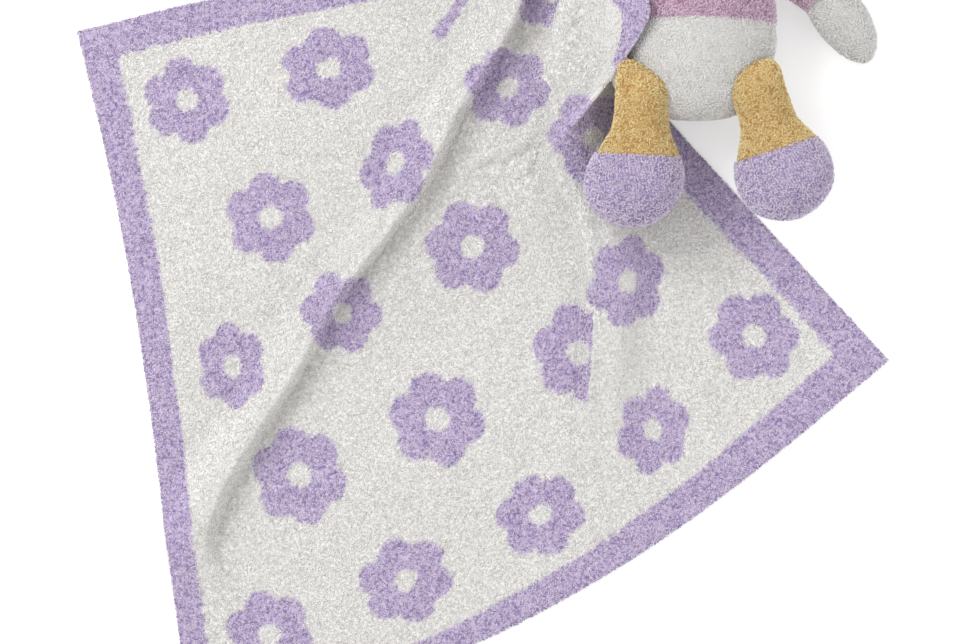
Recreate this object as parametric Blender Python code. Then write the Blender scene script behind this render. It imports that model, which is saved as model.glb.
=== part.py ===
"""Comfort blanket with a stuffed bunny sewn to one corner, lying face up.

Metres, +Z up. The origin is on the floor, under the flat middle of the blanket.
+Y runs from the toy's feet to its ears and +X to the toy's left side.
"""

import math

import bmesh
import bpy
import numpy as np
from mathutils import Matrix, Vector

# Fits
FIT_GAP = 0.0003
CUTTER_REACH = 1.0
FLOOR_CUT = 0.0005
WELD_DISTANCE = 0.00003

# Torso: a pear of fabric in two colours, round one filling
COVER_THICKNESS = 0.002
TORSO_X = 0.1659
TORSO_BOTTOM_Y = 0.189
TORSO_LENGTH = 0.18
TORSO_HALF_WIDTH = 0.0537
TORSO_HALF_DEPTH = 0.043
TORSO_PEAR_SHARE = 0.25
TORSO_FULLNESS_SHARE = 0.7
JUMPER_HEM_ALONG = 0.071
NECK_ALONG = 0.156

TORSO_HEIGHT = TORSO_HALF_DEPTH - FLOOR_CUT

# Head
HEAD_LENGTH = 0.098
HEAD_HALF_WIDTH = 0.0555
HEAD_HALF_DEPTH = 0.0465
HEAD_PEAR_SHARE = 0.12
HEAD_FULLNESS_SHARE = 0.75
HEAD_NECK_SUNK = 0.012
HEAD_HEIGHT = HEAD_HALF_DEPTH + FIT_GAP

# Ears
EAR_LENGTH = 0.085
EAR_HALF_WIDTH = 0.0165
EAR_HALF_DEPTH = 0.0055
EAR_SPACING = 0.052
EAR_SPLAY = math.radians(10)
EAR_DROOP = math.radians(26)
EAR_SUNK = 0.0135
EAR_PEAR_SHARE = 0.15
EAR_FULLNESS_SHARE = 0.7
EAR_LINING_THICKNESS = 0.0018
EAR_LINING_SHARE = 0.7
EAR_LINING_START_SHARE = 0.16
EAR_SEAM_ALONG = 0.008
EAR_SEAM_RISE = 0.0045

# Face
EYE_HALF_WIDTH = 0.0045
EYE_HALF_HEIGHT = 0.0055
EYE_HALF_DEPTH = 0.0035
EYE_SPACING = 0.042
EYE_ALONG = 0.055
NOSE_HALF_WIDTH = 0.0065
NOSE_HALF_HEIGHT = 0.0045
NOSE_HALF_DEPTH = 0.0045
NOSE_ALONG = 0.039

# Arms: places are out from the torso's middle line and along from its bottom
ARM_HALF_WIDTH = 0.0165
ARM_HALF_DEPTH = 0.0165
ARM_HEIGHT = 0.045
ARM_DROOP_START_SHARE = 0.3
SHOULDER_ALONG = 0.122
SHOULDER_OUT = 0.01
SLEEVE_SHAPE_SHARES = ((0.0, 0.95), (0.3, 1.0), (0.55, 1.02), (0.8, 1.0), (1.0, 0.92))
LEFT_ELBOW = (0.0803, 0.1102)
LEFT_HAND_TIP = (0.1177, 0.0402)
RIGHT_ELBOW = (-0.0809, 0.1374)
RIGHT_HAND_TIP = (-0.1115, 0.2122)
LEFT_SHOULDER_SEAM = (0.0408, 0.113)
LEFT_SHOULDER_SEAM_RISE = 0.0175
RIGHT_SHOULDER_SEAM = (-0.0354, 0.1487)
CUFF_SHARE = 0.6
HAND_HALF_WIDTH = 0.0175
HAND_HALF_DEPTH = 0.016
LEFT_HAND_HEIGHT = HAND_HALF_DEPTH + FIT_GAP
RIGHT_HAND_HEIGHT = 0.0425
HAND_SHAPE_SHARES = (
    (0.0, 0.84), (0.15, 0.94), (0.38, 1.0), (0.62, 0.93), (0.82, 0.7), (0.95, 0.38), (1.0, 0.0)
)

# Legs: places are out from the torso's middle line and along from its bottom
LEG_HALF_WIDTH = 0.0177
LEG_HIP_HEIGHT = 0.07
LEG_ANKLE_HEIGHT = 0.05
LEG_LENGTH = 0.068
LEG_SHAPE_SHARES = (
    (0.0, 0.0), (0.03, 0.4), (0.09, 0.69), (0.18, 0.9), (0.3, 1.0),
    (0.5, 1.0), (0.68, 1.05), (0.82, 1.2), (0.93, 1.42), (1.0, 1.55),
)
LEG_DEPTH_SHARE = 0.92
FOOT_LENGTH = 0.048
FOOT_HALF_WIDTH = 0.033
FOOT_HALF_DEPTH = 0.0285
FOOT_SHAPE_SHARES = (
    (0.0, 0.87), (0.13, 0.95), (0.34, 1.0), (0.58, 0.95), (0.78, 0.78), (0.92, 0.5), (1.0, 0.0)
)
RIGHT_HIP = (-0.0353, 0.0436)
RIGHT_LEG_LEAN = math.radians(-2.5)
RIGHT_HIP_SEAM = (-0.0353, 0.0446)
LEFT_HIP = (0.0327, 0.0442)
LEFT_LEG_LEAN = math.radians(20.5)
LEFT_HIP_SEAM = (0.0327, 0.0452)
HIP_SEAM_RISE = 0.007

# Blanket: one knitted square, laid in two long folds that run to the held corner
BLANKET_THICKNESS = 0.005
BLANKET_EDGE_ROUND = 0.0015
BLANKET_NEAR_CORNER = (-0.1734, -0.2346)
BLANKET_RIGHT_CORNER = (0.2978, 0.0272)
BLANKET_FAR_CORNER = (-0.253, 0.2502)
BLANKET_FRONT_BOW = 0.035
# The far edge lies nearly straight, then turns up to the hand.
FAR_EDGE_BENDS = ((-0.17, 0.2706), (-0.0748, 0.287), (0.0136, 0.304), (0.054, 0.338))
BLANKET_SIDE_BOW = 0.0075
BLANKET_SIDE_WAVE = -0.002
# The right edge runs flat to the hip, climbs the flank and drops under the arm. Each place
# is out, along and up, as shares of the torso's half width, length and middle height.
FLANK_ROUTE_SHARES = (
    (0.355, -0.219, 0.0),
    (-0.05, -0.087, 0.0),
    (-0.38, 0.019, 0.03),
    (-0.87, 0.075, 0.3),
    (-1.08, 0.162, 0.95),
    (-0.87, 0.242, 1.55),
    (-0.607, 0.386, 1.812),
    (-1.101, 0.616, 0.847),
    (-1.25, 0.85, 0.38),
)
FLANK_CLEARANCE = 0.004
CLIMB_REACH_SHARES = (0.16, 0.4)
ON_FLANK_SHARE = 0.6
# The fourth corner lies under the right palm and a little past it, sewn there.
HELD_CORNER_PAST_TIP = (-0.002, 0.012)
PALM_CLEARANCE = 0.0035
HELD_CORNER_HEIGHT = RIGHT_HAND_HEIGHT - HAND_HALF_DEPTH - PALM_CLEARANCE - BLANKET_THICKNESS
TACK_RADIUS = 0.004
TACK_FROM_TIP = 0.022
# The folds, read at these places from the near edge to the far one.
FOLD_PLACE_SHARES = (0.0, 0.15, 0.3, 0.49, 0.68, 0.87, 1.0)
# The long fold rises slowly from the left and drops quickly into its valley.
LONG_FOLD_VALLEY_SHARES = (0.1, 0.105, 0.115, 0.298, 0.463, 0.622, 0.71)
LONG_FOLD_TAKEN_SHARES = (0.02, 0.035, 0.045, 0.055, 0.065, 0.075, 0.08)
LONG_FOLD_CREST_SHARE = 0.05
LONG_FOLD_FOOT_SHARE = 0.16
LONG_FOLD_HEIGHT = 0.02
LONG_FOLD_START_SHARE = 0.17
LONG_FOLD_RISING_SHARE = 0.16
LONG_FOLD_SPREAD_SHARE = 1.75
LONG_FOLD_LEAST_SPREAD_SHARE = 0.04
# The roll stands steeply over a tuck that hides cloth, and falls away to the right.
TUCK_START_SHARES = (0.57, 0.595, 0.635, 0.66, 0.625, 0.69, 0.71)
TUCK_TAKEN_SHARES = (0.0, 0.02, 0.12, 0.19, 0.17, 0.16, 0.15)
TUCK_WIDTH_SHARE = 0.03
ROLL_HEIGHT = 0.022
ROLL_HEIGHT_SHARES = (0.0, 0.3, 0.85, 1.0, 0.92, 0.5, 0.0)
ROLL_RISE_SHARE = 0.028
ROLL_LEAD_SHARE = 0.005
ROLL_TOP_SHARE = 0.02
ROLL_FALL_SHARES = (0.08, 0.08, 0.08, 0.08, 0.08, 0.07, 0.06)
GUIDE_SPACING_SHARE = 0.012
BLANKET_COLUMNS = (3, 3, 3, 4, 3, 2, 4, 4)
BLANKET_ROW_SHARES = (
    0.0, 0.08, 0.16, 0.23, 0.3, 0.36, 0.41, 0.45, 0.48, 0.51,
    0.54, 0.57, 0.6, 0.625, 0.65, 0.68, 0.72, 0.77, 0.82, 0.88, 0.94, 1.0,
)

# Facets
TORSO_SEGMENTS = 26
HEAD_SEGMENTS = 24
LIMB_SEGMENTS = 16
SMALL_SEGMENTS = 12
TORSO_RINGS = 8
HEAD_RINGS = 11
EAR_RINGS = 9
SMALL_RINGS = 7

UP = np.array((0.0, 0.0, 1.0))


def clear_scene():
    for old in list(bpy.data.objects):
        bpy.data.objects.remove(old, do_unlink=True)


def make_material(name, colour, roughness):
    material = bpy.data.materials.new(name)
    material.use_nodes = True
    shader = material.node_tree.nodes["Principled BSDF"]
    shader.inputs["Base Color"].default_value = (*colour, 1.0)
    shader.inputs["Roughness"].default_value = roughness
    shader.inputs["Metallic"].default_value = 0.0
    material.diffuse_color = (*colour, 1.0)
    return material


def add_mesh(name, points, faces, material):
    mesh = bpy.data.meshes.new(name)
    mesh.from_pydata([tuple(point) for point in points], [], faces)
    work = bmesh.new()
    work.from_mesh(mesh)
    bmesh.ops.recalc_face_normals(work, faces=work.faces)
    work.to_mesh(mesh)
    work.free()
    if material:
        mesh.materials.append(material)
    mesh.shade_smooth()
    piece = bpy.data.objects.new(name, mesh)
    bpy.context.collection.objects.link(piece)
    return piece


def by_torso(place):
    """World x and y of a place given out from the torso's middle line and along it."""
    out, along = place
    return TORSO_X + out, TORSO_BOTTOM_Y + along


def held_corner():
    out, along = HELD_CORNER_PAST_TIP
    tip_x, tip_y = by_torso(RIGHT_HAND_TIP)
    return tip_x + out, tip_y + along


def smooth_step(value):
    held = np.clip(value, 0.0, 1.0)
    return held * held * (3.0 - 2.0 * held)


def smooth_curve(points, shares):
    """A curve through hand-set points, read at shares of its length."""
    points = np.asarray(points, dtype=float)
    steps = np.linalg.norm(np.diff(points, axis=0), axis=1)
    knots = np.concatenate(([0.0], np.cumsum(steps)))
    knots = knots / knots[-1]
    slopes = np.gradient(points, knots, axis=0)
    place = np.clip(np.searchsorted(knots, shares, side="right") - 1, 0, len(knots) - 2)
    span = (knots[place + 1] - knots[place])[:, None]
    local = ((shares - knots[place])[:, None]) / span
    start, end = points[place], points[place + 1]
    start_slope, end_slope = slopes[place] * span, slopes[place + 1] * span
    return (
        start * (1 + 2 * local) * (1 - local) ** 2
        + end * (3 - 2 * local) * local**2
        + start_slope * local * (1 - local) ** 2
        - end_slope * (1 - local) * local**2
    )


def bowed_edge(start, end, bow, wave, shares):
    """A straight edge with one bow and one S wave, both level with the floor."""
    start, end = np.array(start), np.array(end)
    along = end - start
    square = np.array((along[1], -along[0])) / np.linalg.norm(along)
    offset = bow * np.sin(math.pi * shares) + wave * np.sin(2 * math.pi * shares)
    return start + along * shares[:, None] + square * offset[:, None]


def read_along(shares, v):
    """One of the folds' shares at places v, read smoothly between the set ones."""
    places = np.array(FOLD_PLACE_SHARES)
    values = np.array(shares)
    slopes = np.gradient(values, places)
    index = np.clip(np.searchsorted(places, v, side="right") - 1, 0, len(places) - 2)
    span = places[index + 1] - places[index]
    local = (v - places[index]) / span
    return (
        values[index] * (1 + 2 * local) * (1 - local) ** 2
        + values[index + 1] * (3 - 2 * local) * local**2
        + slopes[index] * span * local * (1 - local) ** 2
        - slopes[index + 1] * span * (1 - local) * local**2
    )


def long_fold_taken(u, v):
    """Width that the long fold has taken up by place u, and in all."""
    taken = read_along(LONG_FOLD_TAKEN_SHARES, v)
    middle = read_along(LONG_FOLD_VALLEY_SHARES, v) - LONG_FOLD_CREST_SHARE / 2
    spread = taken * LONG_FOLD_SPREAD_SHARE + LONG_FOLD_LEAST_SPREAD_SHARE
    start = smooth_step((0.0 - middle) / spread + 0.5)
    return taken * (smooth_step((u - middle) / spread + 0.5) - start), taken * (1.0 - start)


def tuck_taken(u, v):
    """Width that the tuck has hidden by place u, and in all."""
    taken = np.maximum(read_along(TUCK_TAKEN_SHARES, v), 0.0)
    passed = (u - read_along(TUCK_START_SHARES, v)) / (taken + TUCK_WIDTH_SHARE)
    return taken * np.clip(passed, 0.0, 1.0), taken


def long_fold_height(u, v):
    valley = read_along(LONG_FOLD_VALLEY_SHARES, v)
    slope = LONG_FOLD_FOOT_SHARE - LONG_FOLD_CREST_SHARE
    before = smooth_step((u - (valley - LONG_FOLD_FOOT_SHARE)) / slope)
    crest = valley - LONG_FOLD_CREST_SHARE
    after = 1.0 - smooth_step((u - crest) / LONG_FOLD_CREST_SHARE)
    risen = smooth_step((v - LONG_FOLD_START_SHARE) / LONG_FOLD_RISING_SHARE)
    return LONG_FOLD_HEIGHT * risen * before * after


def roll_height(u, v):
    """Height of the roll; u counts the cloth with the tuck's share left out."""
    start = read_along(TUCK_START_SHARES, v)
    before = smooth_step((u - start + ROLL_LEAD_SHARE) / ROLL_RISE_SHARE)
    top_end = start + ROLL_RISE_SHARE + ROLL_TOP_SHARE
    after = 1.0 - smooth_step((u - top_end) / read_along(ROLL_FALL_SHARES, v))
    height = ROLL_HEIGHT * np.maximum(read_along(ROLL_HEIGHT_SHARES, v), 0.0)
    return height * before * after


def torso_top(x, y):
    """Height at which cloth lies on the torso; zero beside it."""
    spare = FLANK_CLEARANCE + BLANKET_THICKNESS / 2
    length = TORSO_LENGTH + 2 * spare
    turn = np.clip(1 - 2 * (y - TORSO_BOTTOM_Y + spare) / length, -1.0, 1.0)
    share = np.maximum(bulb_radius(np.arccos(turn), TORSO_PEAR_SHARE, TORSO_FULLNESS_SHARE), 0)
    reach = np.maximum(share * (TORSO_HALF_WIDTH + spare), FIT_GAP)
    inside = 1 - ((x - TORSO_X) / reach) ** 2
    top = TORSO_HEIGHT + share * (TORSO_HALF_DEPTH + spare) * np.sqrt(np.maximum(inside, 0.0))
    return np.where(inside > 0.0, top - BLANKET_THICKNESS / 2, 0.0)


def blanket_surface(u, v):
    """Middle surface of the laid blanket at shares u across and v from its near edge."""
    # Cloth taken up by a fold brings what lies beyond it closer.
    long_part, long_whole = long_fold_taken(u, v)
    tuck_part, tuck_whole = tuck_taken(u, v)
    t = (u - long_part - tuck_part) / (1.0 - long_whole - tuck_whole)

    flat_v = v.ravel()
    flat_t = t.ravel()
    left = bowed_edge(
        BLANKET_NEAR_CORNER, BLANKET_FAR_CORNER, BLANKET_SIDE_BOW, BLANKET_SIDE_WAVE, flat_v
    )
    near = bowed_edge(BLANKET_NEAR_CORNER, BLANKET_RIGHT_CORNER, BLANKET_FRONT_BOW, 0.0, flat_t)
    far = smooth_curve((BLANKET_FAR_CORNER, *FAR_EDGE_BENDS, held_corner()), flat_t)
    flank_route = [
        (*by_torso((TORSO_HALF_WIDTH * out, TORSO_LENGTH * along)), TORSO_HEIGHT * up)
        for out, along, up in FLANK_ROUTE_SHARES
    ]
    right_corner = (*BLANKET_RIGHT_CORNER, 0.0)
    hand_corner = (*held_corner(), HELD_CORNER_HEIGHT)
    right = smooth_curve((right_corner, *flank_route, hand_corner), flat_v)
    # Rows run straight between the side edges, bent by the near and far edges' own bends.
    tt, vv = flat_t[:, None], flat_v[:, None]
    near_left = np.array(BLANKET_NEAR_CORNER)
    near_right = np.array(BLANKET_RIGHT_CORNER)
    far_left = np.array(BLANKET_FAR_CORNER)
    far_right = np.array(held_corner())
    near_bend = near - (1 - tt) * near_left - tt * near_right
    far_bend = far - (1 - tt) * far_left - tt * far_right
    plan = (1 - tt) * left + tt * right[:, :2] + (1 - vv**2) * near_bend + vv**3 * far_bend

    reach_near, reach_far = CLIMB_REACH_SHARES
    reach = reach_near + (reach_far - reach_near) * v**4
    climb = np.maximum(right[:, 2].reshape(u.shape), 0.0) * smooth_step((u - 1.0 + reach) / reach)
    x = plan[:, 0].reshape(u.shape)
    y = plan[:, 1].reshape(u.shape)
    # The folds flatten out where the cloth climbs.
    folds = long_fold_height(u, v) + roll_height(u - tuck_part, v)
    height = climb + folds * (1.0 - smooth_step(climb / TORSO_HEIGHT))
    on_flank = climb > TORSO_HEIGHT * ON_FLANK_SHARE
    height = np.where(on_flank, np.maximum(height, torso_top(x, y)), height)
    return np.dstack((x, y, height))


def blanket_grid():
    """Columns follow the folds' feet, crests and valleys, so the ridges stay clean."""
    v = np.array(BLANKET_ROW_SHARES)
    valley = read_along(LONG_FOLD_VALLEY_SHARES, v)
    tuck_start = read_along(TUCK_START_SHARES, v)
    tuck_end = tuck_start + np.maximum(read_along(TUCK_TAKEN_SHARES, v), 0.0) + TUCK_WIDTH_SHARE
    roll_end = tuck_end + ROLL_TOP_SHARE
    guides = [
        np.zeros_like(v),
        valley - LONG_FOLD_FOOT_SHARE,
        valley - LONG_FOLD_CREST_SHARE,
        valley,
        tuck_start,
        tuck_end,
        roll_end,
        roll_end + read_along(ROLL_FALL_SHARES, v),
        np.ones_like(v),
    ]
    for index in range(1, len(guides)):
        least = guides[index - 1] + GUIDE_SPACING_SHARE * BLANKET_COLUMNS[index - 1]
        guides[index] = np.maximum(guides[index], least)
    guides[-1] = np.ones_like(v)
    for index in range(len(guides) - 2, 0, -1):
        most = guides[index + 1] - GUIDE_SPACING_SHARE * BLANKET_COLUMNS[index]
        guides[index] = np.minimum(guides[index], most)
    done = 0
    shares = [0.0]
    for count in BLANKET_COLUMNS:
        done += count
        shares.append(done)
    u = np.empty((len(v), done + 1))
    for row in range(len(v)):
        u[row] = np.interp(np.arange(done + 1), shares, [guide[row] for guide in guides])
    return u, np.repeat(v[:, None], done + 1, axis=1)


def grid_normals(surface):
    """Normals of a grid of points, facing up where the grid lies flat."""
    along_u = np.gradient(surface, axis=1)
    along_v = np.gradient(surface, axis=0)
    normals = np.cross(along_u, along_v)
    return normals / np.linalg.norm(normals, axis=2, keepdims=True)


def build_blanket(name, spare=0.0):
    """The sheet's two faces and a rounded rim, as one closed solid."""
    u, v = blanket_grid()
    middle = blanket_surface(u, v)
    normals = grid_normals(middle)
    middle[:, :, 2] += BLANKET_THICKNESS / 2
    half = BLANKET_THICKNESS / 2 + spare
    top = middle + normals * half
    bottom = middle - normals * half
    bottom[:, :, 2] = np.maximum(bottom[:, :, 2], 0.0)
    rows, columns = u.shape

    def rim_of(grid):
        sides = (grid[0, :-1], grid[:-1, -1], grid[-1, :0:-1], grid[:0:-1, 0])
        return np.concatenate(sides)

    numbers = np.arange(rows * columns).reshape(rows, columns)
    cells = np.stack(
        (numbers[:-1, :-1], numbers[:-1, 1:], numbers[1:, 1:], numbers[1:, :-1]), axis=-1
    ).reshape(-1, 4)
    rim = rim_of(numbers)
    # The rim's middle ring stands out by the rounding.
    centre_line = rim_of(middle)
    next_points = np.roll(centre_line, -1, axis=0)
    last_points = np.roll(centre_line, 1, axis=0)
    outward = np.cross(next_points - last_points, rim_of(normals))
    outward /= np.linalg.norm(outward, axis=1, keepdims=True)
    rim_points = centre_line + outward * BLANKET_EDGE_ROUND
    points = np.concatenate((top.reshape(-1, 3), bottom.reshape(-1, 3), rim_points))
    below = rows * columns
    ring = np.arange(len(rim)) + 2 * below
    upper = np.stack((rim, ring, np.roll(ring, -1), np.roll(rim, -1)), axis=1)
    lower = np.stack((np.roll(rim, -1) + below, np.roll(ring, -1), ring, rim + below), axis=1)
    faces = np.concatenate((cells, cells[:, ::-1] + below, upper, lower)).tolist()
    return add_mesh(name, points, faces, make_material("knit_ivory", (0.807, 0.791, 0.73), 0.95))


def bulb_radius(angle, pear_share, fullness_share):
    """Radius share of a pear along its length; angle runs from 0 at the heavy end to pi."""
    swell = np.sin(angle) ** fullness_share * (1 + pear_share * np.cos(angle))
    trial = np.linspace(0, math.pi, 181)
    most = np.max(np.sin(trial) ** fullness_share * (1 + pear_share * np.cos(trial)))
    return swell / most


def bulb_angle(along, length):
    return math.acos(max(-1.0, min(1.0, 1 - 2 * along / length)))


def bulb_rings(length, half_width, half_depth, pear, fullness, start, end, count, inset=0.0):
    """Rings of a pear between two places along it, as along, half width and half depth."""
    inner_length = length - 2 * inset
    first = bulb_angle(start - inset, inner_length)
    last = bulb_angle(end - inset, inner_length)
    angles = np.linspace(first, last, count)
    share = bulb_radius(angles, pear, fullness)
    along = inset + inner_length * (1 - np.cos(angles)) / 2
    return np.stack((along, share * (half_width - inset), share * (half_depth - inset)), axis=1)


def straight_path(start, direction):
    """A straight path along one direction, with its level side vector."""
    origin = np.array(start, dtype=float)
    heading = np.array(direction, dtype=float)
    heading /= np.linalg.norm(heading)
    side = np.cross(UP, heading)
    side /= np.linalg.norm(side)

    def read(along):
        places = origin + np.outer(along, heading)
        return places, np.tile(side, (len(along), 1))

    return read


def bent_path(start, bend, end, height):
    """A level path bent once, read by distance; it runs on straight before its start."""
    start, bend, end = (np.array((*point, height)) for point in (start, bend, end))
    fine = np.linspace(0, 1, 61)[:, None]
    points = (1 - fine) ** 2 * start + 2 * fine * (1 - fine) * bend + fine**2 * end
    steps = np.concatenate(([0.0], np.cumsum(np.linalg.norm(np.diff(points, axis=0), axis=1))))
    headings = np.gradient(points, steps, axis=0)
    headings /= np.linalg.norm(headings, axis=1, keepdims=True)

    def read(along):
        held = np.clip(along, 0.0, steps[-1])
        places = np.stack([np.interp(held, steps, points[:, axis]) for axis in range(3)], axis=1)
        heading = np.stack([np.interp(held, steps, headings[:, axis]) for axis in range(3)], axis=1)
        heading /= np.linalg.norm(heading, axis=1, keepdims=True)
        places = places + heading * (along - held)[:, None]
        return places, np.cross(UP, heading)

    return read, steps[-1]


def skin_rings(name, path, rings, segments, material, closed=False, rise=None):
    """Skin ellipses along a path; a ring of no size becomes a pole, closed joins the ends."""
    along = np.array([ring[0] for ring in rings])
    places, sides = path(along)
    if rise is not None:
        places = places + np.outer(rise(along), UP)
    turn = np.arange(segments) * 2 * math.pi / segments
    points = []
    loops = []
    for place, side, ring in zip(places, sides, rings):
        start = len(points)
        if ring[1] <= 0.0:
            points.append(place)
            loops.append([start] * segments)
            continue
        circle = np.outer(np.cos(turn) * ring[1], side) + np.outer(np.sin(turn) * ring[2], UP)
        points.extend(place + circle)
        loops.append(list(range(start, start + segments)))
    faces = []
    pairs = list(zip(loops[:-1], loops[1:]))
    if closed:
        pairs.append((loops[-1], loops[0]))
    for lower, upper in pairs:
        for index in range(segments):
            after = (index + 1) % segments
            corners = [lower[index], lower[after], upper[after], upper[index]]
            faces.append(list(dict.fromkeys(corners)))
    for loop, other in ((loops[0], 0), (loops[-1], -1)):
        if not closed and len(set(loop)) > 1:
            faces.append(loop)
    return add_mesh(name, points, faces, material)


def cut_with(piece, cutter):
    """Take one closed solid out of another and keep the result as the piece's own mesh."""
    modifier = piece.modifiers.new("cut", "BOOLEAN")
    modifier.operation = "DIFFERENCE"
    modifier.solver = "EXACT"
    modifier.object = cutter
    evaluated = piece.evaluated_get(bpy.context.evaluated_depsgraph_get())
    result = bpy.data.meshes.new_from_object(evaluated)
    piece.modifiers.remove(modifier)
    old = piece.data
    piece.data = result
    bpy.data.meshes.remove(old)
    tidy = bmesh.new()
    tidy.from_mesh(result)
    bmesh.ops.dissolve_degenerate(tidy, dist=WELD_DISTANCE, edges=tidy.edges)
    bmesh.ops.triangulate(tidy, faces=tidy.faces)
    tidy.to_mesh(result)
    tidy.free()


def drop(piece):
    bpy.data.objects.remove(piece, do_unlink=True)


def hang_from(place, names):
    """Give the pieces of one moving body their origin on its joint."""
    place = Vector(place)
    for name in names:
        piece = bpy.data.objects[name]
        piece.data.transform(Matrix.Translation(-place))
        piece.location = place


def below_level(height):
    """A cutter that fills everything under one height."""
    mesh = bpy.data.meshes.new("level_cutter")
    work = bmesh.new()
    bmesh.ops.create_cube(work, size=2 * CUTTER_REACH)
    bmesh.ops.translate(work, verts=work.verts, vec=UP * (height - CUTTER_REACH))
    work.to_mesh(mesh)
    work.free()
    cutter = bpy.data.objects.new("level_cutter", mesh)
    bpy.context.collection.objects.link(cutter)
    return cutter


def shaped_rings(shape_shares, start, length, half_width, half_depth, inset=0.0):
    """Rings of a limb from a table of places and radii; an end of no radius is a tip."""
    shape = np.array(shape_shares)
    lead = inset if shape[0, 1] <= 0.0 else 0.0
    tip = inset if shape[-1, 1] <= 0.0 else 0.0
    along = start + lead + shape[:, 0] * (length - lead - tip)
    wide = np.where(shape[:, 1] > 0.0, shape[:, 1] * half_width - inset, 0.0)
    deep = np.where(shape[:, 1] > 0.0, shape[:, 1] * half_depth - inset, 0.0)
    return np.stack((along, wide, deep), axis=1)


def torso_path():
    return straight_path((TORSO_X, TORSO_BOTTOM_Y, TORSO_HEIGHT), (0, 1, 0))


def torso_rings(start, end, count, inset=0.0):
    return bulb_rings(
        TORSO_LENGTH, TORSO_HALF_WIDTH, TORSO_HALF_DEPTH,
        TORSO_PEAR_SHARE, TORSO_FULLNESS_SHARE, start, end, count, inset,
    )


def torso_cutter():
    """The whole torso, larger by the fit gap, that trims whatever is sewn to it."""
    lower = torso_rings(-FIT_GAP, JUMPER_HEM_ALONG, TORSO_RINGS, -FIT_GAP)
    upper = torso_rings(JUMPER_HEM_ALONG, NECK_ALONG, TORSO_RINGS, -FIT_GAP)
    rings = np.concatenate((lower, upper[1:]))
    return skin_rings("torso_cutter", torso_path(), rings, TORSO_SEGMENTS, None)


def build_torso(white, pink, filling):
    hem = JUMPER_HEM_ALONG
    half_gap = FIT_GAP / 2
    outer = torso_rings(0, hem - half_gap, TORSO_RINGS)
    inner = torso_rings(COVER_THICKNESS, hem - half_gap, TORSO_RINGS, COVER_THICKNESS)
    rings = np.concatenate((outer, inner[::-1]))
    lower = skin_rings("torso_lower_cover", torso_path(), rings, TORSO_SEGMENTS, white)
    outer = torso_rings(hem + half_gap, NECK_ALONG, TORSO_RINGS)
    inner = torso_rings(hem + half_gap, NECK_ALONG, TORSO_RINGS, COVER_THICKNESS)
    rings = np.concatenate((outer, inner[::-1]))
    upper = skin_rings("jumper", torso_path(), rings, TORSO_SEGMENTS, pink, closed=True)
    spare = COVER_THICKNESS + FIT_GAP
    lower_core = torso_rings(spare, hem, TORSO_RINGS, spare)
    upper_core = torso_rings(hem, NECK_ALONG, TORSO_RINGS, spare)
    rings = np.concatenate((lower_core, upper_core[1:]))
    skin_rings("torso_filling", torso_path(), rings, TORSO_SEGMENTS, filling)
    floor = below_level(0.0)
    for cover in (lower, upper):
        cut_with(cover, floor)
    drop(floor)


def head_path():
    bottom = TORSO_BOTTOM_Y + NECK_ALONG + FIT_GAP - HEAD_NECK_SUNK
    return straight_path((TORSO_X, bottom, HEAD_HEIGHT), (0, 1, 0))


def head_rings(start, count, inset=0.0):
    return bulb_rings(
        HEAD_LENGTH, HEAD_HALF_WIDTH, HEAD_HALF_DEPTH,
        HEAD_PEAR_SHARE, HEAD_FULLNESS_SHARE, start, HEAD_LENGTH - inset, count, inset,
    )


def head_cutter():
    rings = head_rings(-FIT_GAP, 2 * HEAD_RINGS, -FIT_GAP)
    return skin_rings("head_cutter", head_path(), rings, HEAD_SEGMENTS, None)


def head_surface_height(out, along):
    share = float(bulb_radius(bulb_angle(along, HEAD_LENGTH), HEAD_PEAR_SHARE, HEAD_FULLNESS_SHARE))
    side = out / (HEAD_HALF_WIDTH * share)
    return HEAD_HEIGHT + HEAD_HALF_DEPTH * share * math.sqrt(1 - side * side)


def build_head(white, filling, thread):
    outer = head_rings(HEAD_NECK_SUNK, HEAD_RINGS)
    inner = head_rings(HEAD_NECK_SUNK, HEAD_RINGS, COVER_THICKNESS)
    rings = np.concatenate((outer[::-1], inner))
    skin_rings("head_cover", head_path(), rings, HEAD_SEGMENTS, white)
    rings = head_rings(HEAD_NECK_SUNK, HEAD_RINGS, COVER_THICKNESS + FIT_GAP)
    skin_rings("head_filling", head_path(), rings, HEAD_SEGMENTS, filling)
    cutter = head_cutter()
    face = (
        ("right_eye", -EYE_SPACING / 2, EYE_ALONG, EYE_HALF_WIDTH, EYE_HALF_HEIGHT, EYE_HALF_DEPTH),
        ("left_eye", EYE_SPACING / 2, EYE_ALONG, EYE_HALF_WIDTH, EYE_HALF_HEIGHT, EYE_HALF_DEPTH),
        ("nose", 0.0, NOSE_ALONG, NOSE_HALF_WIDTH, NOSE_HALF_HEIGHT, NOSE_HALF_DEPTH),
    )
    for name, out, along, wide, high, deep in face:
        place, _ = head_path()(np.array((along - high,)))
        place[0, 0] += out
        place[0, 2] = head_surface_height(out, along)
        rings = bulb_rings(2 * high, wide, deep, 0.0, 1.0, 0.0, 2 * high, SMALL_RINGS)
        patch = skin_rings(name, straight_path(place[0], (0, 1, 0)), rings, SMALL_SEGMENTS, thread)
        cut_with(patch, cutter)
    neck = (*by_torso((0.0, NECK_ALONG)), HEAD_HEIGHT)
    hang_from(neck, ("head_cover", "head_filling", "left_eye", "right_eye", "nose"))
    return cutter


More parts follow.
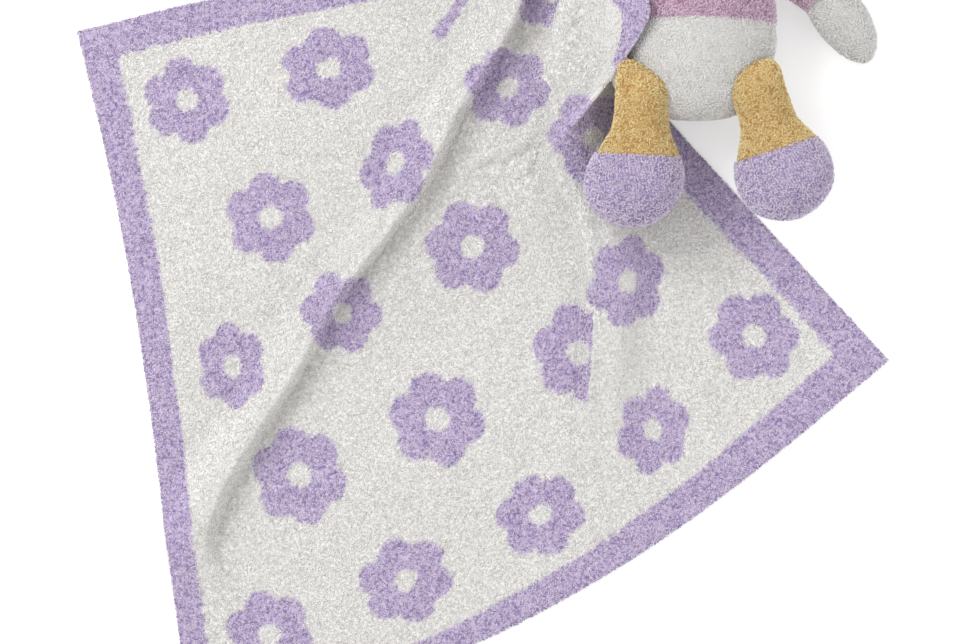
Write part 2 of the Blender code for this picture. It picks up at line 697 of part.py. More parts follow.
def build_ear(name, out, white, pink, head):
    """One ear and its lining, trimmed to the head."""
    lean = math.copysign(EAR_SPLAY, out)
    level = math.cos(EAR_DROOP)
    heading = (math.sin(lean) * level, math.cos(lean) * level, -math.sin(EAR_DROOP))
    top, _ = head_path()(np.array((HEAD_LENGTH - EAR_SUNK,)))
    start = top[0] + np.array((out, 0, 0))
    seam = start + np.array(heading) * EAR_SEAM_ALONG + UP * EAR_SEAM_RISE
    path = straight_path(start, heading)
    rings = bulb_rings(
        EAR_LENGTH, EAR_HALF_WIDTH, EAR_HALF_DEPTH,
        -EAR_PEAR_SHARE, EAR_FULLNESS_SHARE, 0.0, EAR_LENGTH, EAR_RINGS,
    )
    ear = skin_rings(name + "_ear", path, rings, LIMB_SEGMENTS, white)
    cut_with(ear, head)
    spare = FIT_GAP
    rings = bulb_rings(
        EAR_LENGTH, EAR_HALF_WIDTH, EAR_HALF_DEPTH,
        -EAR_PEAR_SHARE, EAR_FULLNESS_SHARE, -spare, EAR_LENGTH + spare, EAR_RINGS, -spare,
    )
    backing = skin_rings("ear_cutter", path, rings, LIMB_SEGMENTS, None)
    lining_start = EAR_LENGTH * EAR_LINING_START_SHARE
    lining_length = EAR_LENGTH * EAR_LINING_SHARE
    rings = bulb_rings(
        lining_length, EAR_HALF_WIDTH * EAR_LINING_SHARE, EAR_HALF_DEPTH,
        -EAR_PEAR_SHARE, EAR_FULLNESS_SHARE, 0.0, lining_length, EAR_RINGS,
    )
    rings[:, 0] += lining_start

    def lining_rise(along):
        return np.full(len(along), EAR_LINING_THICKNESS)

    lining = skin_rings(
        name + "_ear_lining", path, rings, LIMB_SEGMENTS, pink, rise=lining_rise
    )
    cut_with(lining, backing)
    drop(backing)
    hang_from(seam, (name + "_ear", name + "_ear_lining"))


def arm_path(side, elbow, tip):
    start = by_torso((side * SHOULDER_OUT, SHOULDER_ALONG))
    return bent_path(start, by_torso(elbow), by_torso(tip), ARM_HEIGHT)


def arm_droop(total, hand_height):
    """The arm leaves the shoulder level, then sinks to its hand."""

    def rise(along):
        reached = (along / total - ARM_DROOP_START_SHARE) / (1 - ARM_DROOP_START_SHARE)
        return (hand_height - ARM_HEIGHT) * smooth_step(reached)

    return rise


def build_arm(name, side, elbow, tip, hand_height, seam, pink, white, filling, torso):
    """Sleeve, hand and the filling that runs through both."""
    path, total = arm_path(side, elbow, tip)
    rise = arm_droop(total, hand_height)
    cuff = total * CUFF_SHARE
    hand_start = cuff + FIT_GAP
    hand_length = total - hand_start
    sleeve = [SLEEVE_SHAPE_SHARES, 0.0, cuff, ARM_HALF_WIDTH, ARM_HALF_DEPTH]
    hand = [HAND_SHAPE_SHARES, hand_start, hand_length, HAND_HALF_WIDTH, HAND_HALF_DEPTH]
    rings = np.concatenate((shaped_rings(*sleeve), shaped_rings(*sleeve, COVER_THICKNESS)[::-1]))
    sleeve_piece = skin_rings(
        name + "_sleeve", path, rings, LIMB_SEGMENTS, pink, closed=True, rise=rise
    )
    rings = np.concatenate((shaped_rings(*hand)[::-1], shaped_rings(*hand, COVER_THICKNESS)))
    skin_rings(name + "_hand", path, rings, LIMB_SEGMENTS, white, rise=rise)
    spare = COVER_THICKNESS + FIT_GAP
    inner = [shaped_rings(*sleeve, spare), shaped_rings(*hand, spare)]
    rings = np.concatenate(inner)
    core = skin_rings(name + "_arm_filling", path, rings, LIMB_SEGMENTS, filling, rise=rise)
    cut_with(sleeve_piece, torso)
    cut_with(core, torso)
    hang_from(seam, (name + "_sleeve", name + "_hand", name + "_arm_filling"))


def leg_rise(along):
    return LEG_HIP_HEIGHT + (LEG_ANKLE_HEIGHT - LEG_HIP_HEIGHT) * smooth_step(along / LEG_LENGTH)


def build_leg(name, hip, lean, seam, tan, lavender, filling, torso):
    """Leg, foot and the filling that runs through both."""
    heading = (math.sin(lean), -math.cos(lean), 0)
    path = straight_path((*by_torso(hip), 0.0), heading)
    half_depth = LEG_HALF_WIDTH * LEG_DEPTH_SHARE
    foot_start = LEG_LENGTH + FIT_GAP
    leg = [LEG_SHAPE_SHARES, 0.0, LEG_LENGTH, LEG_HALF_WIDTH, half_depth]
    foot = [FOOT_SHAPE_SHARES, foot_start, FOOT_LENGTH, FOOT_HALF_WIDTH, FOOT_HALF_DEPTH]

    spare = COVER_THICKNESS + FIT_GAP
    rings = np.concatenate((shaped_rings(*leg), shaped_rings(*leg, COVER_THICKNESS)[::-1]))
    cover = skin_rings(name + "_leg", path, rings, LIMB_SEGMENTS, tan, rise=leg_rise)
    rings = np.concatenate((shaped_rings(*foot)[::-1], shaped_rings(*foot, COVER_THICKNESS)))
    skin_rings(name + "_foot", path, rings, LIMB_SEGMENTS, lavender, rise=leg_rise)
    inner = (shaped_rings(*leg, spare), shaped_rings(*foot, spare))
    rings = np.concatenate(inner)
    core = skin_rings(
        name + "_leg_filling", path, rings, LIMB_SEGMENTS, filling, rise=leg_rise
    )
    cut_with(cover, torso)
    cut_with(core, torso)
    place = (*by_torso(seam), LEG_HIP_HEIGHT + HIP_SEAM_RISE)
    hang_from(place, (name + "_leg", name + "_foot", name + "_leg_filling"))


def build_tack(thread):
    """Thread that joins the held corner to the palm, trimmed to both."""
    path, total = arm_path(-1, RIGHT_ELBOW, RIGHT_HAND_TIP)
    place, _ = path(np.array((total - TACK_FROM_TIP,)))
    x, y = place[0, :2]
    turn = np.arange(SMALL_SEGMENTS) * 2 * math.pi / SMALL_SEGMENTS
    circle = np.stack((x + TACK_RADIUS * np.cos(turn), y + TACK_RADIUS * np.sin(turn)), axis=1)
    count = SMALL_SEGMENTS
    low = np.column_stack((circle, np.full(count, HELD_CORNER_HEIGHT)))
    high = np.column_stack((circle, np.full(count, RIGHT_HAND_HEIGHT)))
    faces = [[i, (i + 1) % count, count + (i + 1) % count, count + i] for i in range(count)]
    faces += [list(range(count)), list(range(count, 2 * count))]
    tack = add_mesh("corner_tack", np.concatenate((low, high)), faces, thread)
    cloth = build_blanket("blanket_cutter", FIT_GAP)
    hand_start = total * CUFF_SHARE + FIT_GAP
    rings = shaped_rings(
        HAND_SHAPE_SHARES, hand_start, total - hand_start, HAND_HALF_WIDTH, HAND_HALF_DEPTH, -FIT_GAP
    )
    rise = arm_droop(total, RIGHT_HAND_HEIGHT)
    palm = skin_rings("palm_cutter", path, rings, LIMB_SEGMENTS, None, rise=rise)
    for cutter in (cloth, palm):
        cut_with(tack, cutter)
        drop(cutter)
    hang_from((x, y, HELD_CORNER_HEIGHT + BLANKET_THICKNESS), ("blanket", "corner_tack"))


def build():
    clear_scene()
    white = make_material("plush_white", (0.831, 0.807, 0.776), 0.95)
    pink = make_material("plush_pink", (0.624, 0.366, 0.515), 0.95)
    tan = make_material("plush_tan", (0.723, 0.451, 0.159), 0.95)
    lavender = make_material("plush_lavender", (0.485, 0.366, 0.651), 0.95)
    filling = make_material("polyester_filling", (0.85, 0.85, 0.85), 1.0)
    thread = make_material("dark_thread", (0.09, 0.06, 0.06), 0.6)
    build_blanket("blanket")
    build_torso(white, pink, filling)
    head = build_head(white, filling, thread)
    for name, side in (("right", -1), ("left", 1)):
        build_ear(name, side * EAR_SPACING / 2, white, pink, head)
    drop(head)
    torso = torso_cutter()
    covers = (pink, white, filling, torso)
    seam = (*by_torso(RIGHT_SHOULDER_SEAM), ARM_HEIGHT)
    build_arm("right", -1, RIGHT_ELBOW, RIGHT_HAND_TIP, RIGHT_HAND_HEIGHT, seam, *covers)
    seam = (*by_torso(LEFT_SHOULDER_SEAM), ARM_HEIGHT + LEFT_SHOULDER_SEAM_RISE)
    build_arm("left", 1, LEFT_ELBOW, LEFT_HAND_TIP, LEFT_HAND_HEIGHT, seam, *covers)
    covers = (tan, lavender, filling, torso)
    build_leg("right", RIGHT_HIP, RIGHT_LEG_LEAN, RIGHT_HIP_SEAM, *covers)
    build_leg("left", LEFT_HIP, LEFT_LEG_LEAN, LEFT_HIP_SEAM, *covers)
    drop(torso)
    build_tack(make_material("ivory_thread", (0.75, 0.72, 0.68), 0.7))


build()
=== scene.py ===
import math

import bpy
import numpy as np
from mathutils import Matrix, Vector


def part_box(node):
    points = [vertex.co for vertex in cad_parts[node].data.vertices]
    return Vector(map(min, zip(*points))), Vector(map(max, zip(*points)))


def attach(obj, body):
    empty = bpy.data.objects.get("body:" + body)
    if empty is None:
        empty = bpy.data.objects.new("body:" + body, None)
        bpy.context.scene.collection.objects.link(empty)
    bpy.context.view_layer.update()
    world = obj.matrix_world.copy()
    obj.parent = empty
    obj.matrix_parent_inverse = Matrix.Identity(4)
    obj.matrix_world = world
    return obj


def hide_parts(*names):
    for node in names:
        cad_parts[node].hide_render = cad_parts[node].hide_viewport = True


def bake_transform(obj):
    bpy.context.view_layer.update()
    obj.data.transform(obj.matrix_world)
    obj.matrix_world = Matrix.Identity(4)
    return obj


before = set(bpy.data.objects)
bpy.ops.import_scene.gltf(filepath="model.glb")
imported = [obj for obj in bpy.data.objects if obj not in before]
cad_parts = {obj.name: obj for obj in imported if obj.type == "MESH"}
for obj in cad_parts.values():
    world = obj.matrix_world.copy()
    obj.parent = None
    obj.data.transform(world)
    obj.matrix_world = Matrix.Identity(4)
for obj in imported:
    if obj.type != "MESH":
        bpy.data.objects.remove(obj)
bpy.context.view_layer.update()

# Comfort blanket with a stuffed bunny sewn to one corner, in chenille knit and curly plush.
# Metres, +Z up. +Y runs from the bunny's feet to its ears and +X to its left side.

up = np.array((0.0, 0.0, 1.0))
mm = 0.001


# ---- small helpers

def hexColour(code):  # sRGB hex to the linear values that Blender mixes
    parts = np.array([int(code[i:i + 2], 16) for i in (1, 3, 5)]) / 255
    linear = np.where(parts <= 0.04045, parts / 12.92, ((parts + 0.055) / 1.055) ** 2.4)
    return (*linear.tolist(), 1.0)


def smoothStep(value):  # 3t^2 - 2t^3, held at 0 and 1
    held = np.clip(value, 0.0, 1.0)
    return held * held * (3.0 - 2.0 * held)


def unit(vectors):
    return vectors / np.maximum(np.linalg.norm(vectors, axis=-1, keepdims=True), 1e-12)


def softNoise(x, y, size, seed):  # random heights from -1 to 1, blended smoothly over square cells
    cells = 97
    table = np.random.default_rng(seed).uniform(-1, 1, (cells, cells))
    cellX, cellY = np.floor(x / size).astype(int), np.floor(y / size).astype(int)
    shareX, shareY = smoothStep(x / size - cellX), smoothStep(y / size - cellY)

    def row(number):
        return (table[cellX % cells, number % cells] * (1 - shareX)
                + table[(cellX + 1) % cells, number % cells] * shareX)

    return row(cellY) * (1 - shareY) + row(cellY + 1) * shareY


def meshPiece(name, points, loops, sizes, materials, slots=None, smooth=True):  # arrays in, one mesh object out
    mesh = bpy.data.meshes.new(name)
    mesh.vertices.add(len(points))
    mesh.vertices.foreach_set("co", np.ascontiguousarray(points, dtype=np.float32).ravel())
    mesh.loops.add(len(loops))
    mesh.loops.foreach_set("vertex_index", np.ascontiguousarray(loops, dtype=np.int32))
    mesh.polygons.add(len(sizes))
    mesh.polygons.foreach_set("loop_start", (np.cumsum(sizes) - sizes).astype(np.int32))
    mesh.update(calc_edges=True)
    mesh.polygons.foreach_set("use_smooth", np.full(len(sizes), smooth))
    for material in materials:
        mesh.materials.append(material)
    if slots is not None:
        mesh.polygons.foreach_set("material_index", np.ascontiguousarray(slots, dtype=np.int32))
    mesh.validate()
    piece = bpy.data.objects.new(name, mesh)
    scene.collection.objects.link(piece)
    return piece


def closedForm(name, rings, material):  # skins rings from one end to the other and closes both ends with a fan
    rows, around = rings.shape[:2]
    numbers = np.arange(rows * around).reshape(rows, around)
    after = np.roll(numbers, -1, axis=1)
    walls = np.stack((numbers[:-1], after[:-1], after[1:], numbers[1:]), axis=-1).reshape(-1, 4)
    first, last = rows * around, rows * around + 1
    startFan = np.stack((after[0], numbers[0], np.full(around, first)), axis=-1)
    endFan = np.stack((numbers[-1], after[-1], np.full(around, last)), axis=-1)
    points = np.concatenate((rings.reshape(-1, 3), [rings[0].mean(0)], [rings[-1].mean(0)]))
    loops = np.concatenate((walls.ravel(), startFan.ravel(), endFan.ravel()))
    sizes = np.concatenate((np.full(len(walls), 4), np.full(2 * around, 3)))
    return meshPiece(name, points, loops, sizes, [material])


scene = bpy.context.scene


# ---- finishes

def addNode(tree, kind, settings=(), inputs=()):  # one node, its settings and what feeds its sockets
    node = tree.nodes.new(kind)
    for key, value in dict(settings).items():
        setattr(node, key, value)
    for key, value in dict(inputs).items():
        if isinstance(value, bpy.types.NodeSocket):
            tree.links.new(value, node.inputs[key])
        else:
            node.inputs[key].default_value = value
    return node


def newMaterial(name):
    material = bpy.data.materials.new(name)
    material.use_nodes = True
    tree = material.node_tree
    return material, tree, tree.nodes["Principled BSDF"]


def setInputs(node, values):
    for key, value in values.items():
        node.inputs[key].default_value = value


def addBump(tree, shader, height, distance, strength, invert=False):
    bump = addNode(tree, "ShaderNodeBump", {"invert": invert},
                   {"Height": height, "Distance": distance, "Strength": strength})
    tree.links.new(bump.outputs["Normal"], shader.inputs["Normal"])


def rampNode(tree, factor, stops):  # a colour ramp through (place, hex) stops
    ramp = addNode(tree, "ShaderNodeValToRGB", inputs={"Fac": factor})
    parts = ramp.color_ramp.elements
    while len(parts) < len(stops):
        parts.new(0.5)
    for part, (place, code) in zip(parts, stops):
        part.position = place
        part.color = hexColour(code)
    return ramp.outputs["Color"]


fabricValues = {
    "yarnSize": 2.2 * mm,        # curl of the chenille yarn
    "fuzzSize": 0.7 * mm,        # cut fibres on the yarn
    "blotchSize": 14 * mm,       # slow change of tone over the cloth
    "roughness": 0.92,
    "sheen": 0.2,
    "sheenRoughness": 0.45,
    "bumpHeight": 0.9 * mm,
}
chenilleFinish = {
    "Roughness": fabricValues["roughness"], "Sheen Weight": fabricValues["sheen"],
    "Sheen Roughness": fabricValues["sheenRoughness"],
}
# each finish: light tip, middle and deep tone of one yarn; the tufts take all three at random, while the ground under
# them takes the middle and deep ones as painted shade among the tufts
yarnTones = {
    "ivory": ("#F9F8F6", "#F3F2F0", "#E4E1DD"),
    "knitLavender": ("#EEE5F3", "#DED1E8", "#A28DBD"),
    "lavender": ("#F1E8F7", "#E5D8F0", "#B09BCC"),
    "white": ("#FFFFFF", "#FCFAF8", "#EAE8E4"),
    "pink": ("#F6E2F0", "#EBCCE1", "#C096B5"),
    "tan": ("#FDEDB8", "#F8DC99", "#D6A862"),
}


def chenilleGroundPaintedShade(name, tones, inkTones=None):
    # polyester chenille, knitted: the dull ground under the tufts, in the middle and deep tones as painted shade among
    # the tufts, darker toward the edge of each curl as painted shade in the crevices, with slow blotches of the yarn's
    # own tone
    material, tree, shader = newMaterial(name)
    place = addNode(tree, "ShaderNodeTexCoord").outputs["Object"]
    curls = addNode(tree, "ShaderNodeTexVoronoi", {"feature": "SMOOTH_F1"},
                    {"Vector": place, "Scale": 1 / fabricValues["yarnSize"], "Smoothness": 0.4})
    fuzz, blotch = (addNode(tree, "ShaderNodeTexNoise", (),
                            {"Vector": place, "Scale": 1 / fabricValues[size], "Detail": detail})
                    for size, detail in (("fuzzSize", 3.0), ("blotchSize", 2.0)))
    # painted shade: distance from each curl's middle, plus a share of the blotches, carries the colour from the middle
    # tone toward the deep one
    deep = addNode(tree, "ShaderNodeMath", {"operation": "MULTIPLY_ADD"},
                   {0: blotch.outputs["Fac"], 1: 0.35, 2: curls.outputs["Distance"]}).outputs[0]
    colour = rampNode(tree, deep, ((0.3, tones[1]), (1.0, tones[2])))
    if inkTones:
        ink = addNode(tree, "ShaderNodeAttribute", {"attribute_type": "GEOMETRY", "attribute_name": "ink"})
        inked = rampNode(tree, deep, ((0.3, inkTones[1]), (1.0, inkTones[2])))
        mix = addNode(tree, "ShaderNodeMix", {"data_type": "RGBA"}, {0: ink.outputs["Fac"], 6: colour, 7: inked})
        colour = mix.outputs[2]
    tree.links.new(colour, shader.inputs["Base Color"])
    height = addNode(tree, "ShaderNodeMath", {"operation": "MULTIPLY_ADD"},
                     {0: fuzz.outputs["Fac"], 1: 0.4, 2: curls.outputs["Distance"]}).outputs[0]
    addBump(tree, shader, height, fabricValues["bumpHeight"], 0.8, invert=True)
    setInputs(shader, chenilleFinish)
    return material


def chenilleYarn(name, code):
    # one tuft of cut polyester pile: very rough, with a soft sheen along its edge
    material, _, shader = newMaterial(name)
    shader.inputs["Base Color"].default_value = hexColour(code)
    setInputs(shader, chenilleFinish)
    return material


def looseFibre():
    # carded polyester fibre: dull white, with a fine tangle, greyer in the tangle's hollows as painted shade
    material, tree, shader = newMaterial("cardedPolyesterFibre")
    place = addNode(tree, "ShaderNodeTexCoord").outputs["Object"]
    tangle = addNode(tree, "ShaderNodeTexNoise", (),
                     {"Vector": place, "Scale": 1 / (1.5 * mm), "Detail": 4.0, "Distortion": 1.5})
    # painted shade: the colour follows the same noise as the bump, greyer where the tangle sinks
    colour = rampNode(tree, tangle.outputs["Fac"], ((0.3, "#D9D8D4"), (0.7, "#F4F3F0")))
    tree.links.new(colour, shader.inputs["Base Color"])
    addBump(tree, shader, tangle.outputs["Fac"], 1.0 * mm, 0.7)
    shader.inputs["Roughness"].default_value = 0.95
    return material


def sewingThread(name, code, grooveShade):
    # twisted polyester thread: ridges a third of a millimetre apart, a soft sheen along them, and painted shade
    # darkening the grooves between the ridges
    material, tree, shader = newMaterial(name)
    place = addNode(tree, "ShaderNodeTexCoord").outputs["Object"]
    twist = addNode(tree, "ShaderNodeTexWave", {"wave_type": "BANDS", "bands_direction": "DIAGONAL"},
                    {"Vector": place, "Scale": 1 / (0.9 * mm), "Distortion": 0.6, "Detail": 2.0, "Detail Scale": 1.5})
    # painted shade: the ramp runs from the groove shade where the bump sinks to the thread's own colour on the ridges
    tree.links.new(rampNode(tree, twist.outputs["Fac"], ((0.2, grooveShade), (0.8, code))), shader.inputs["Base Color"])
    addBump(tree, shader, twist.outputs["Fac"], 0.15 * mm, 0.6)
    setInputs(shader, {"Roughness": 0.5, "Sheen Weight": 0.2})
    return material


fibreFill = looseFibre()
# the last colour given to each thread is the painted shade in its grooves
darkThread = sewingThread("embroideryThreadDark", "#4A3432", "#241716")
ivoryThread = sewingThread("sewingThreadIvory", "#EDE6D8", "#C9C0AE")
# the grounds under the tufts hold painted shade: darker than the tufts, and darker still between the curls
paintedShadeGrounds = {key: chenilleGroundPaintedShade(key + "ChenilleGroundPaintedShade", tones) for key, tones in yarnTones.items()}
paintedShadeGrounds["blanket"] = chenilleGroundPaintedShade("knittedBlanketGroundPaintedShade", yarnTones["ivory"], yarnTones["knitLavender"])
yarns = {
    key: [chenilleYarn(key + "Yarn" + tone, code) for tone, code in zip(("Light", "Middle", "Deep"), tones)]
    for key, tones in yarnTones.items()
}


# ---- pile

def pileFrames(roots, normals, tangents, rng):  # a random level direction for each tuft, and the direction square to it
    angle = rng.uniform(0, 2 * math.pi, len(roots))[:, None]
    along = np.cos(angle) * tangents + np.sin(angle) * np.cross(normals, tangents)
    return along, np.cross(along, normals)


def pilePiece(name, points, pattern, sizes, materials, values, rng, lowest=0.0004):  # repeats one tuft's faces over all tufts
    count, each = points.shape[:2]
    points[:, :, 2] = np.maximum(points[:, :, 2], lowest)
    loops = (np.array(pattern)[None] + each * np.arange(count)[:, None]).ravel()
    tone = rng.choice(len(materials), count, p=values["toneShares"])
    return meshPiece(name, points.reshape(-1, 3), loops, np.tile(sizes, count), materials, np.repeat(tone, len(sizes)))


def fibres(name, roots, normals, tangents, values, materials, seed):
    # cut fibre: from a sunk root over a ring of three at its middle to a lifted tip, six faces
    rng = np.random.default_rng(seed)
    count = len(roots)
    along, side = pileFrames(roots, normals, tangents, rng)
    length = values["length"] * rng.uniform(0.7, 1.3, (count, 1))
    radius = values["radius"] * rng.uniform(0.8, 1.2, (count, 1))
    lift = values["lift"] * rng.uniform(0.6, 1.4, (count, 1))
    points = np.empty((count, 5, 3))
    points[:, 0] = roots - along * length / 2 - normals * values["sink"]
    points[:, 4] = roots + along * length / 2 + normals * values["tip"] * rng.uniform(0, 1, (count, 1))
    bend = side * values["curl"] * rng.uniform(-1, 1, (count, 1))
    for corner in range(3):
        turn = math.pi / 2 + corner * 2 * math.pi / 3
        points[:, 1 + corner] = roots + normals * lift + bend + radius * (math.sin(turn) * normals + math.cos(turn) * side)
    pattern = (0, 1, 2, 0, 2, 3, 0, 3, 1, 1, 4, 2, 2, 4, 3, 3, 4, 1)
    return pilePiece(name, points, pattern, (3,) * 6, materials, values, rng)


# ---- blanket

blanketValues = {
    "width": 0.515, "length": 0.5,            # flat size
    "ground": 3.0 * mm, "middleHeight": 2.5 * mm,
    "edgeRound": 3.0 * mm,
    "border": {"left": (17.5, 21.5), "right": (22.0, 25.0), "near": (13.0, 26.0), "far": (23.5, 20.0)},  # mm at either end
    "petalOut": 17.8 * mm, "petalRadius": 11.4 * mm, "heartRadius": 7.4 * mm,
    "sliver": ((-0.0072, 0.2498), (0.0108, 0.2745), 3.9 * mm),  # all that shows of a flower in the long fold
    "wobble": 0.8 * mm, "wobbleSize": 2.2 * mm,
    # the right border's width at the flank, and where it shows: turned under beside the leg
    "flankShares": (0.42, 0.5, 0.62, 0.65, 0.69, 0.75), "flankBorder": (23, 34, 38, 35, 19, 18),
    "underLeg": (0.1105, 0.42, 0.63),          # left of this x, between these shares
    "borderReach": 27 * mm,                    # tufts this near an edge count as border
    "cell": 2.5 * mm,                          # mesh spacing
    "pileSpacing": 1.36 * mm, "pileKept": 1.15,  # tufts kept for each unit of real surface
    "rimCount": 1000, "rimSpread": 1.2,        # tufts along each edge, and how far in (mm)
    "lump": 0.8 * mm, "lumpSize": 17 * mm, "ripple": 0.5 * mm, "rippleSize": 7 * mm,
}
blanketPile = {
    "length": 2.9 * mm, "radius": 0.4 * mm, "lift": 0.5 * mm, "tip": 0.9 * mm, "curl": 0.4 * mm, "sink": 0.25 * mm,
    "toneShares": (0.36, 0.4, 0.24),
}
# each knitted flower: its heart across and from the near edge, how wide and tall it lies, its turn, and
# how far into the tuck it shows from the left (below zero) or from what share of the tuck on (above zero)
flowers = {
    "farLeft": (0.1146, 0.871, 1.02, 1.01, 12, 0), "farSecond": (0.2992, 0.870, 1.12, 0.97, 11, 0),
    "farInside": (0.6826, 0.8470, 0.95, 0.84, 12, -0.8),
    "upperLeft": (0.1869, 0.683, 1.06, 1.06, 11, 0), "upperFold": (0.3615, 0.703, 0.8, 1.12, -22, 0),
    "upperMiddle": (0.6051, 0.7508, 1.03, 0.93, 15, -0.9),
    "midLeft": (0.1179, 0.4883, 0.82, 1.02, 7, 0), "midFold": (0.3304, 0.5006, 0.94, 0.96, 25, 0),
    "midCentre": (0.5339, 0.485, 1.12, 1.10, 22, 0), "midRight": (0.9355, 0.469, 1.0, 1.12, 30, 0.08),
    "lowLeft": (0.2247, 0.3092, 1.10, 1.18, 16, 0), "lowMiddle": (0.4149, 0.2981, 1.14, 1.13, 19, 0),
    "lowFold": (0.6251, 0.2659, 1.10, 1.18, 17, -0.7), "lowRight": (0.8276, 0.2981, 0.9, 1.08, -9, 0.4),
    "nearLeft": (0.1468, 0.1146, 1.03, 1.05, 16, 0), "nearSecond": (0.3348, 0.119, 1.12, 1.0, 23, 0),
    "nearMiddle": (0.5284, 0.1146, 1.06, 0.97, 26, 0), "nearFourth": (0.7197, 0.1246, 0.87, 1.04, -9, 0),
    "nearRight": (0.8954, 0.1335, 1.02, 1.12, 37, 0),
}
toyPlace = {"x": 0.1659, "bottomY": 0.189, "length": 0.18, "halfWidth": 0.0537, "halfDepth": 0.043, "height": 0.0425}
layout = {  # how the blanket is laid, the same as its solid
    "near": (-0.1734, -0.2346), "right": (0.2978, 0.0272), "far": (-0.253, 0.2502), "held": (0.0524, 0.4132),
    "heldHeight": 0.018, "frontBow": 0.035, "sideBow": 0.0075, "sideWave": -0.002,
    "farBends": ((-0.17, 0.2706), (-0.0748, 0.287), (0.0136, 0.304), (0.054, 0.338)),
    "flankShares": ((0.355, -0.219, 0.0), (-0.05, -0.087, 0.0), (-0.38, 0.019, 0.03), (-0.87, 0.075, 0.3), (-1.08, 0.162, 0.95),
                    (-0.87, 0.242, 1.55), (-0.607, 0.386, 1.812), (-1.101, 0.616, 0.847), (-1.25, 0.85, 0.38)),
    "places": (0.0, 0.15, 0.3, 0.49, 0.68, 0.87, 1.0),   # the folds are given at these shares from the near edge
    "longValley": (0.1, 0.105, 0.115, 0.298, 0.463, 0.622, 0.71),
    "longTaken": (0.02, 0.035, 0.045, 0.055, 0.065, 0.075, 0.08),
    "longCrest": 0.05, "longFoot": 0.16, "longHeight": 0.02, "longStart": 0.17, "longRising": 0.16,
    "tuckStart": (0.57, 0.595, 0.635, 0.66, 0.625, 0.69, 0.71),
    "tuckTaken": (0.0, 0.02, 0.12, 0.19, 0.17, 0.16, 0.15), "tuckWidth": 0.03,
    "climbReach": (0.16, 0.24), "flankFrom": 0.6,  # how far in the cloth climbs, and from what height it lies on
    "rollHeight": 0.022, "rollShares": (0.0, 0.3, 0.85, 1.0, 0.92, 0.5, 0.0),
    "rollRise": 0.028, "rollLead": 0.005, "rollTop": 0.02, "rollFall": (0.08, 0.08, 0.08, 0.08, 0.08, 0.07, 0.06),
}


def bulbShare(angle, pear, fullness):  # sin^fullness times (1 + pear cos), at most 1: a pear's radius
    trial = np.linspace(0, math.pi, 181)
    most = np.max(np.sin(trial) ** fullness * (1 + pear * np.cos(trial)))
    return np.maximum(np.sin(angle), 0) ** fullness * (1 + pear * np.cos(angle)) / most


def cubicThrough(places, values, at):
    # a smooth curve through a table: cubic from entry to entry, with the slopes of the table
    slopes = np.gradient(values, places, axis=0)
    index = np.clip(np.searchsorted(places, at, side="right") - 1, 0, len(places) - 2)
    step = places[index + 1] - places[index]
    t = (at - places[index]) / step
    if values.ndim > 1:
        step, t = step[:, None], t[:, None]
    return (values[index] * (1 + 2 * t) * (1 - t) ** 2 + values[index + 1] * (3 - 2 * t) * t ** 2
            + slopes[index] * step * t * (1 - t) ** 2 - slopes[index + 1] * step * (1 - t) * t ** 2)


def throughPoints(points, shares):  # a cubic curve through the points, read at shares of its length
    points = np.asarray(points, dtype=float)
    knots = np.concatenate(([0.0], np.cumsum(np.linalg.norm(np.diff(points, axis=0), axis=1))))
    return cubicThrough(knots / knots[-1], points, shares)


def bowed(start, end, bow, wave, shares):  # a straight edge with one sine bow and one S wave
    start, end = np.array(start), np.array(end)
    way = end - start
    square = np.array((way[1], -way[0])) / np.linalg.norm(way)
    offset = bow * np.sin(math.pi * shares) + wave * np.sin(2 * math.pi * shares)
    return start + way * shares[:, None] + square * offset[:, None]


def readTable(name, v):  # cubic reading of one of the layout's tables at shares v
    return cubicThrough(np.array(layout["places"]), np.array(layout[name]), v)


def longTakenUp(u, v):  # cloth swallowed by the long fold up to place u, and in all
    taken = readTable("longTaken", v)
    middle = readTable("longValley", v) - layout["longCrest"] / 2
    spread = taken * 1.75 + 0.04
    start = smoothStep((0.0 - middle) / spread + 0.5)
    return taken * (smoothStep((u - middle) / spread + 0.5) - start), taken * (1.0 - start)


def tuckHidden(u, v):  # cloth hidden by the tuck up to place u, and in all
    taken = np.maximum(readTable("tuckTaken", v), 0.0)
    return taken * np.clip((u - readTable("tuckStart", v)) / (taken + layout["tuckWidth"]), 0.0, 1.0), taken


def longRise(u, v):  # a slow rise from the foot to the crest, then a quick drop into the valley
    valley = readTable("longValley", v)
    before = smoothStep((u - valley + layout["longFoot"]) / (layout["longFoot"] - layout["longCrest"]))
    after = 1.0 - smoothStep((u - valley + layout["longCrest"]) / layout["longCrest"])
    return layout["longHeight"] * smoothStep((v - layout["longStart"]) / layout["longRising"]) * before * after


def rollRise(u, v):  # a steep rise over the tuck, a rounded top and a fall to the right
    start = readTable("tuckStart", v)
    before = smoothStep((u - start + layout["rollLead"]) / layout["rollRise"])
    after = 1.0 - smoothStep((u - start - layout["rollRise"] - layout["rollTop"]) / readTable("rollFall", v))
    return layout["rollHeight"] * np.maximum(readTable("rollShares", v), 0.0) * before * after


# soft creases between the folds: from, to, width and height
creases = (
    ((0.010, 0.160), (0.063, 0.182), 9 * mm, 3.5 * mm), ((0.030, 0.163), (0.056, 0.176), 6 * mm, 2.0 * mm),
    ((0.100, 0.243), (0.100, 0.219), 7 * mm, 3.0 * mm),
)


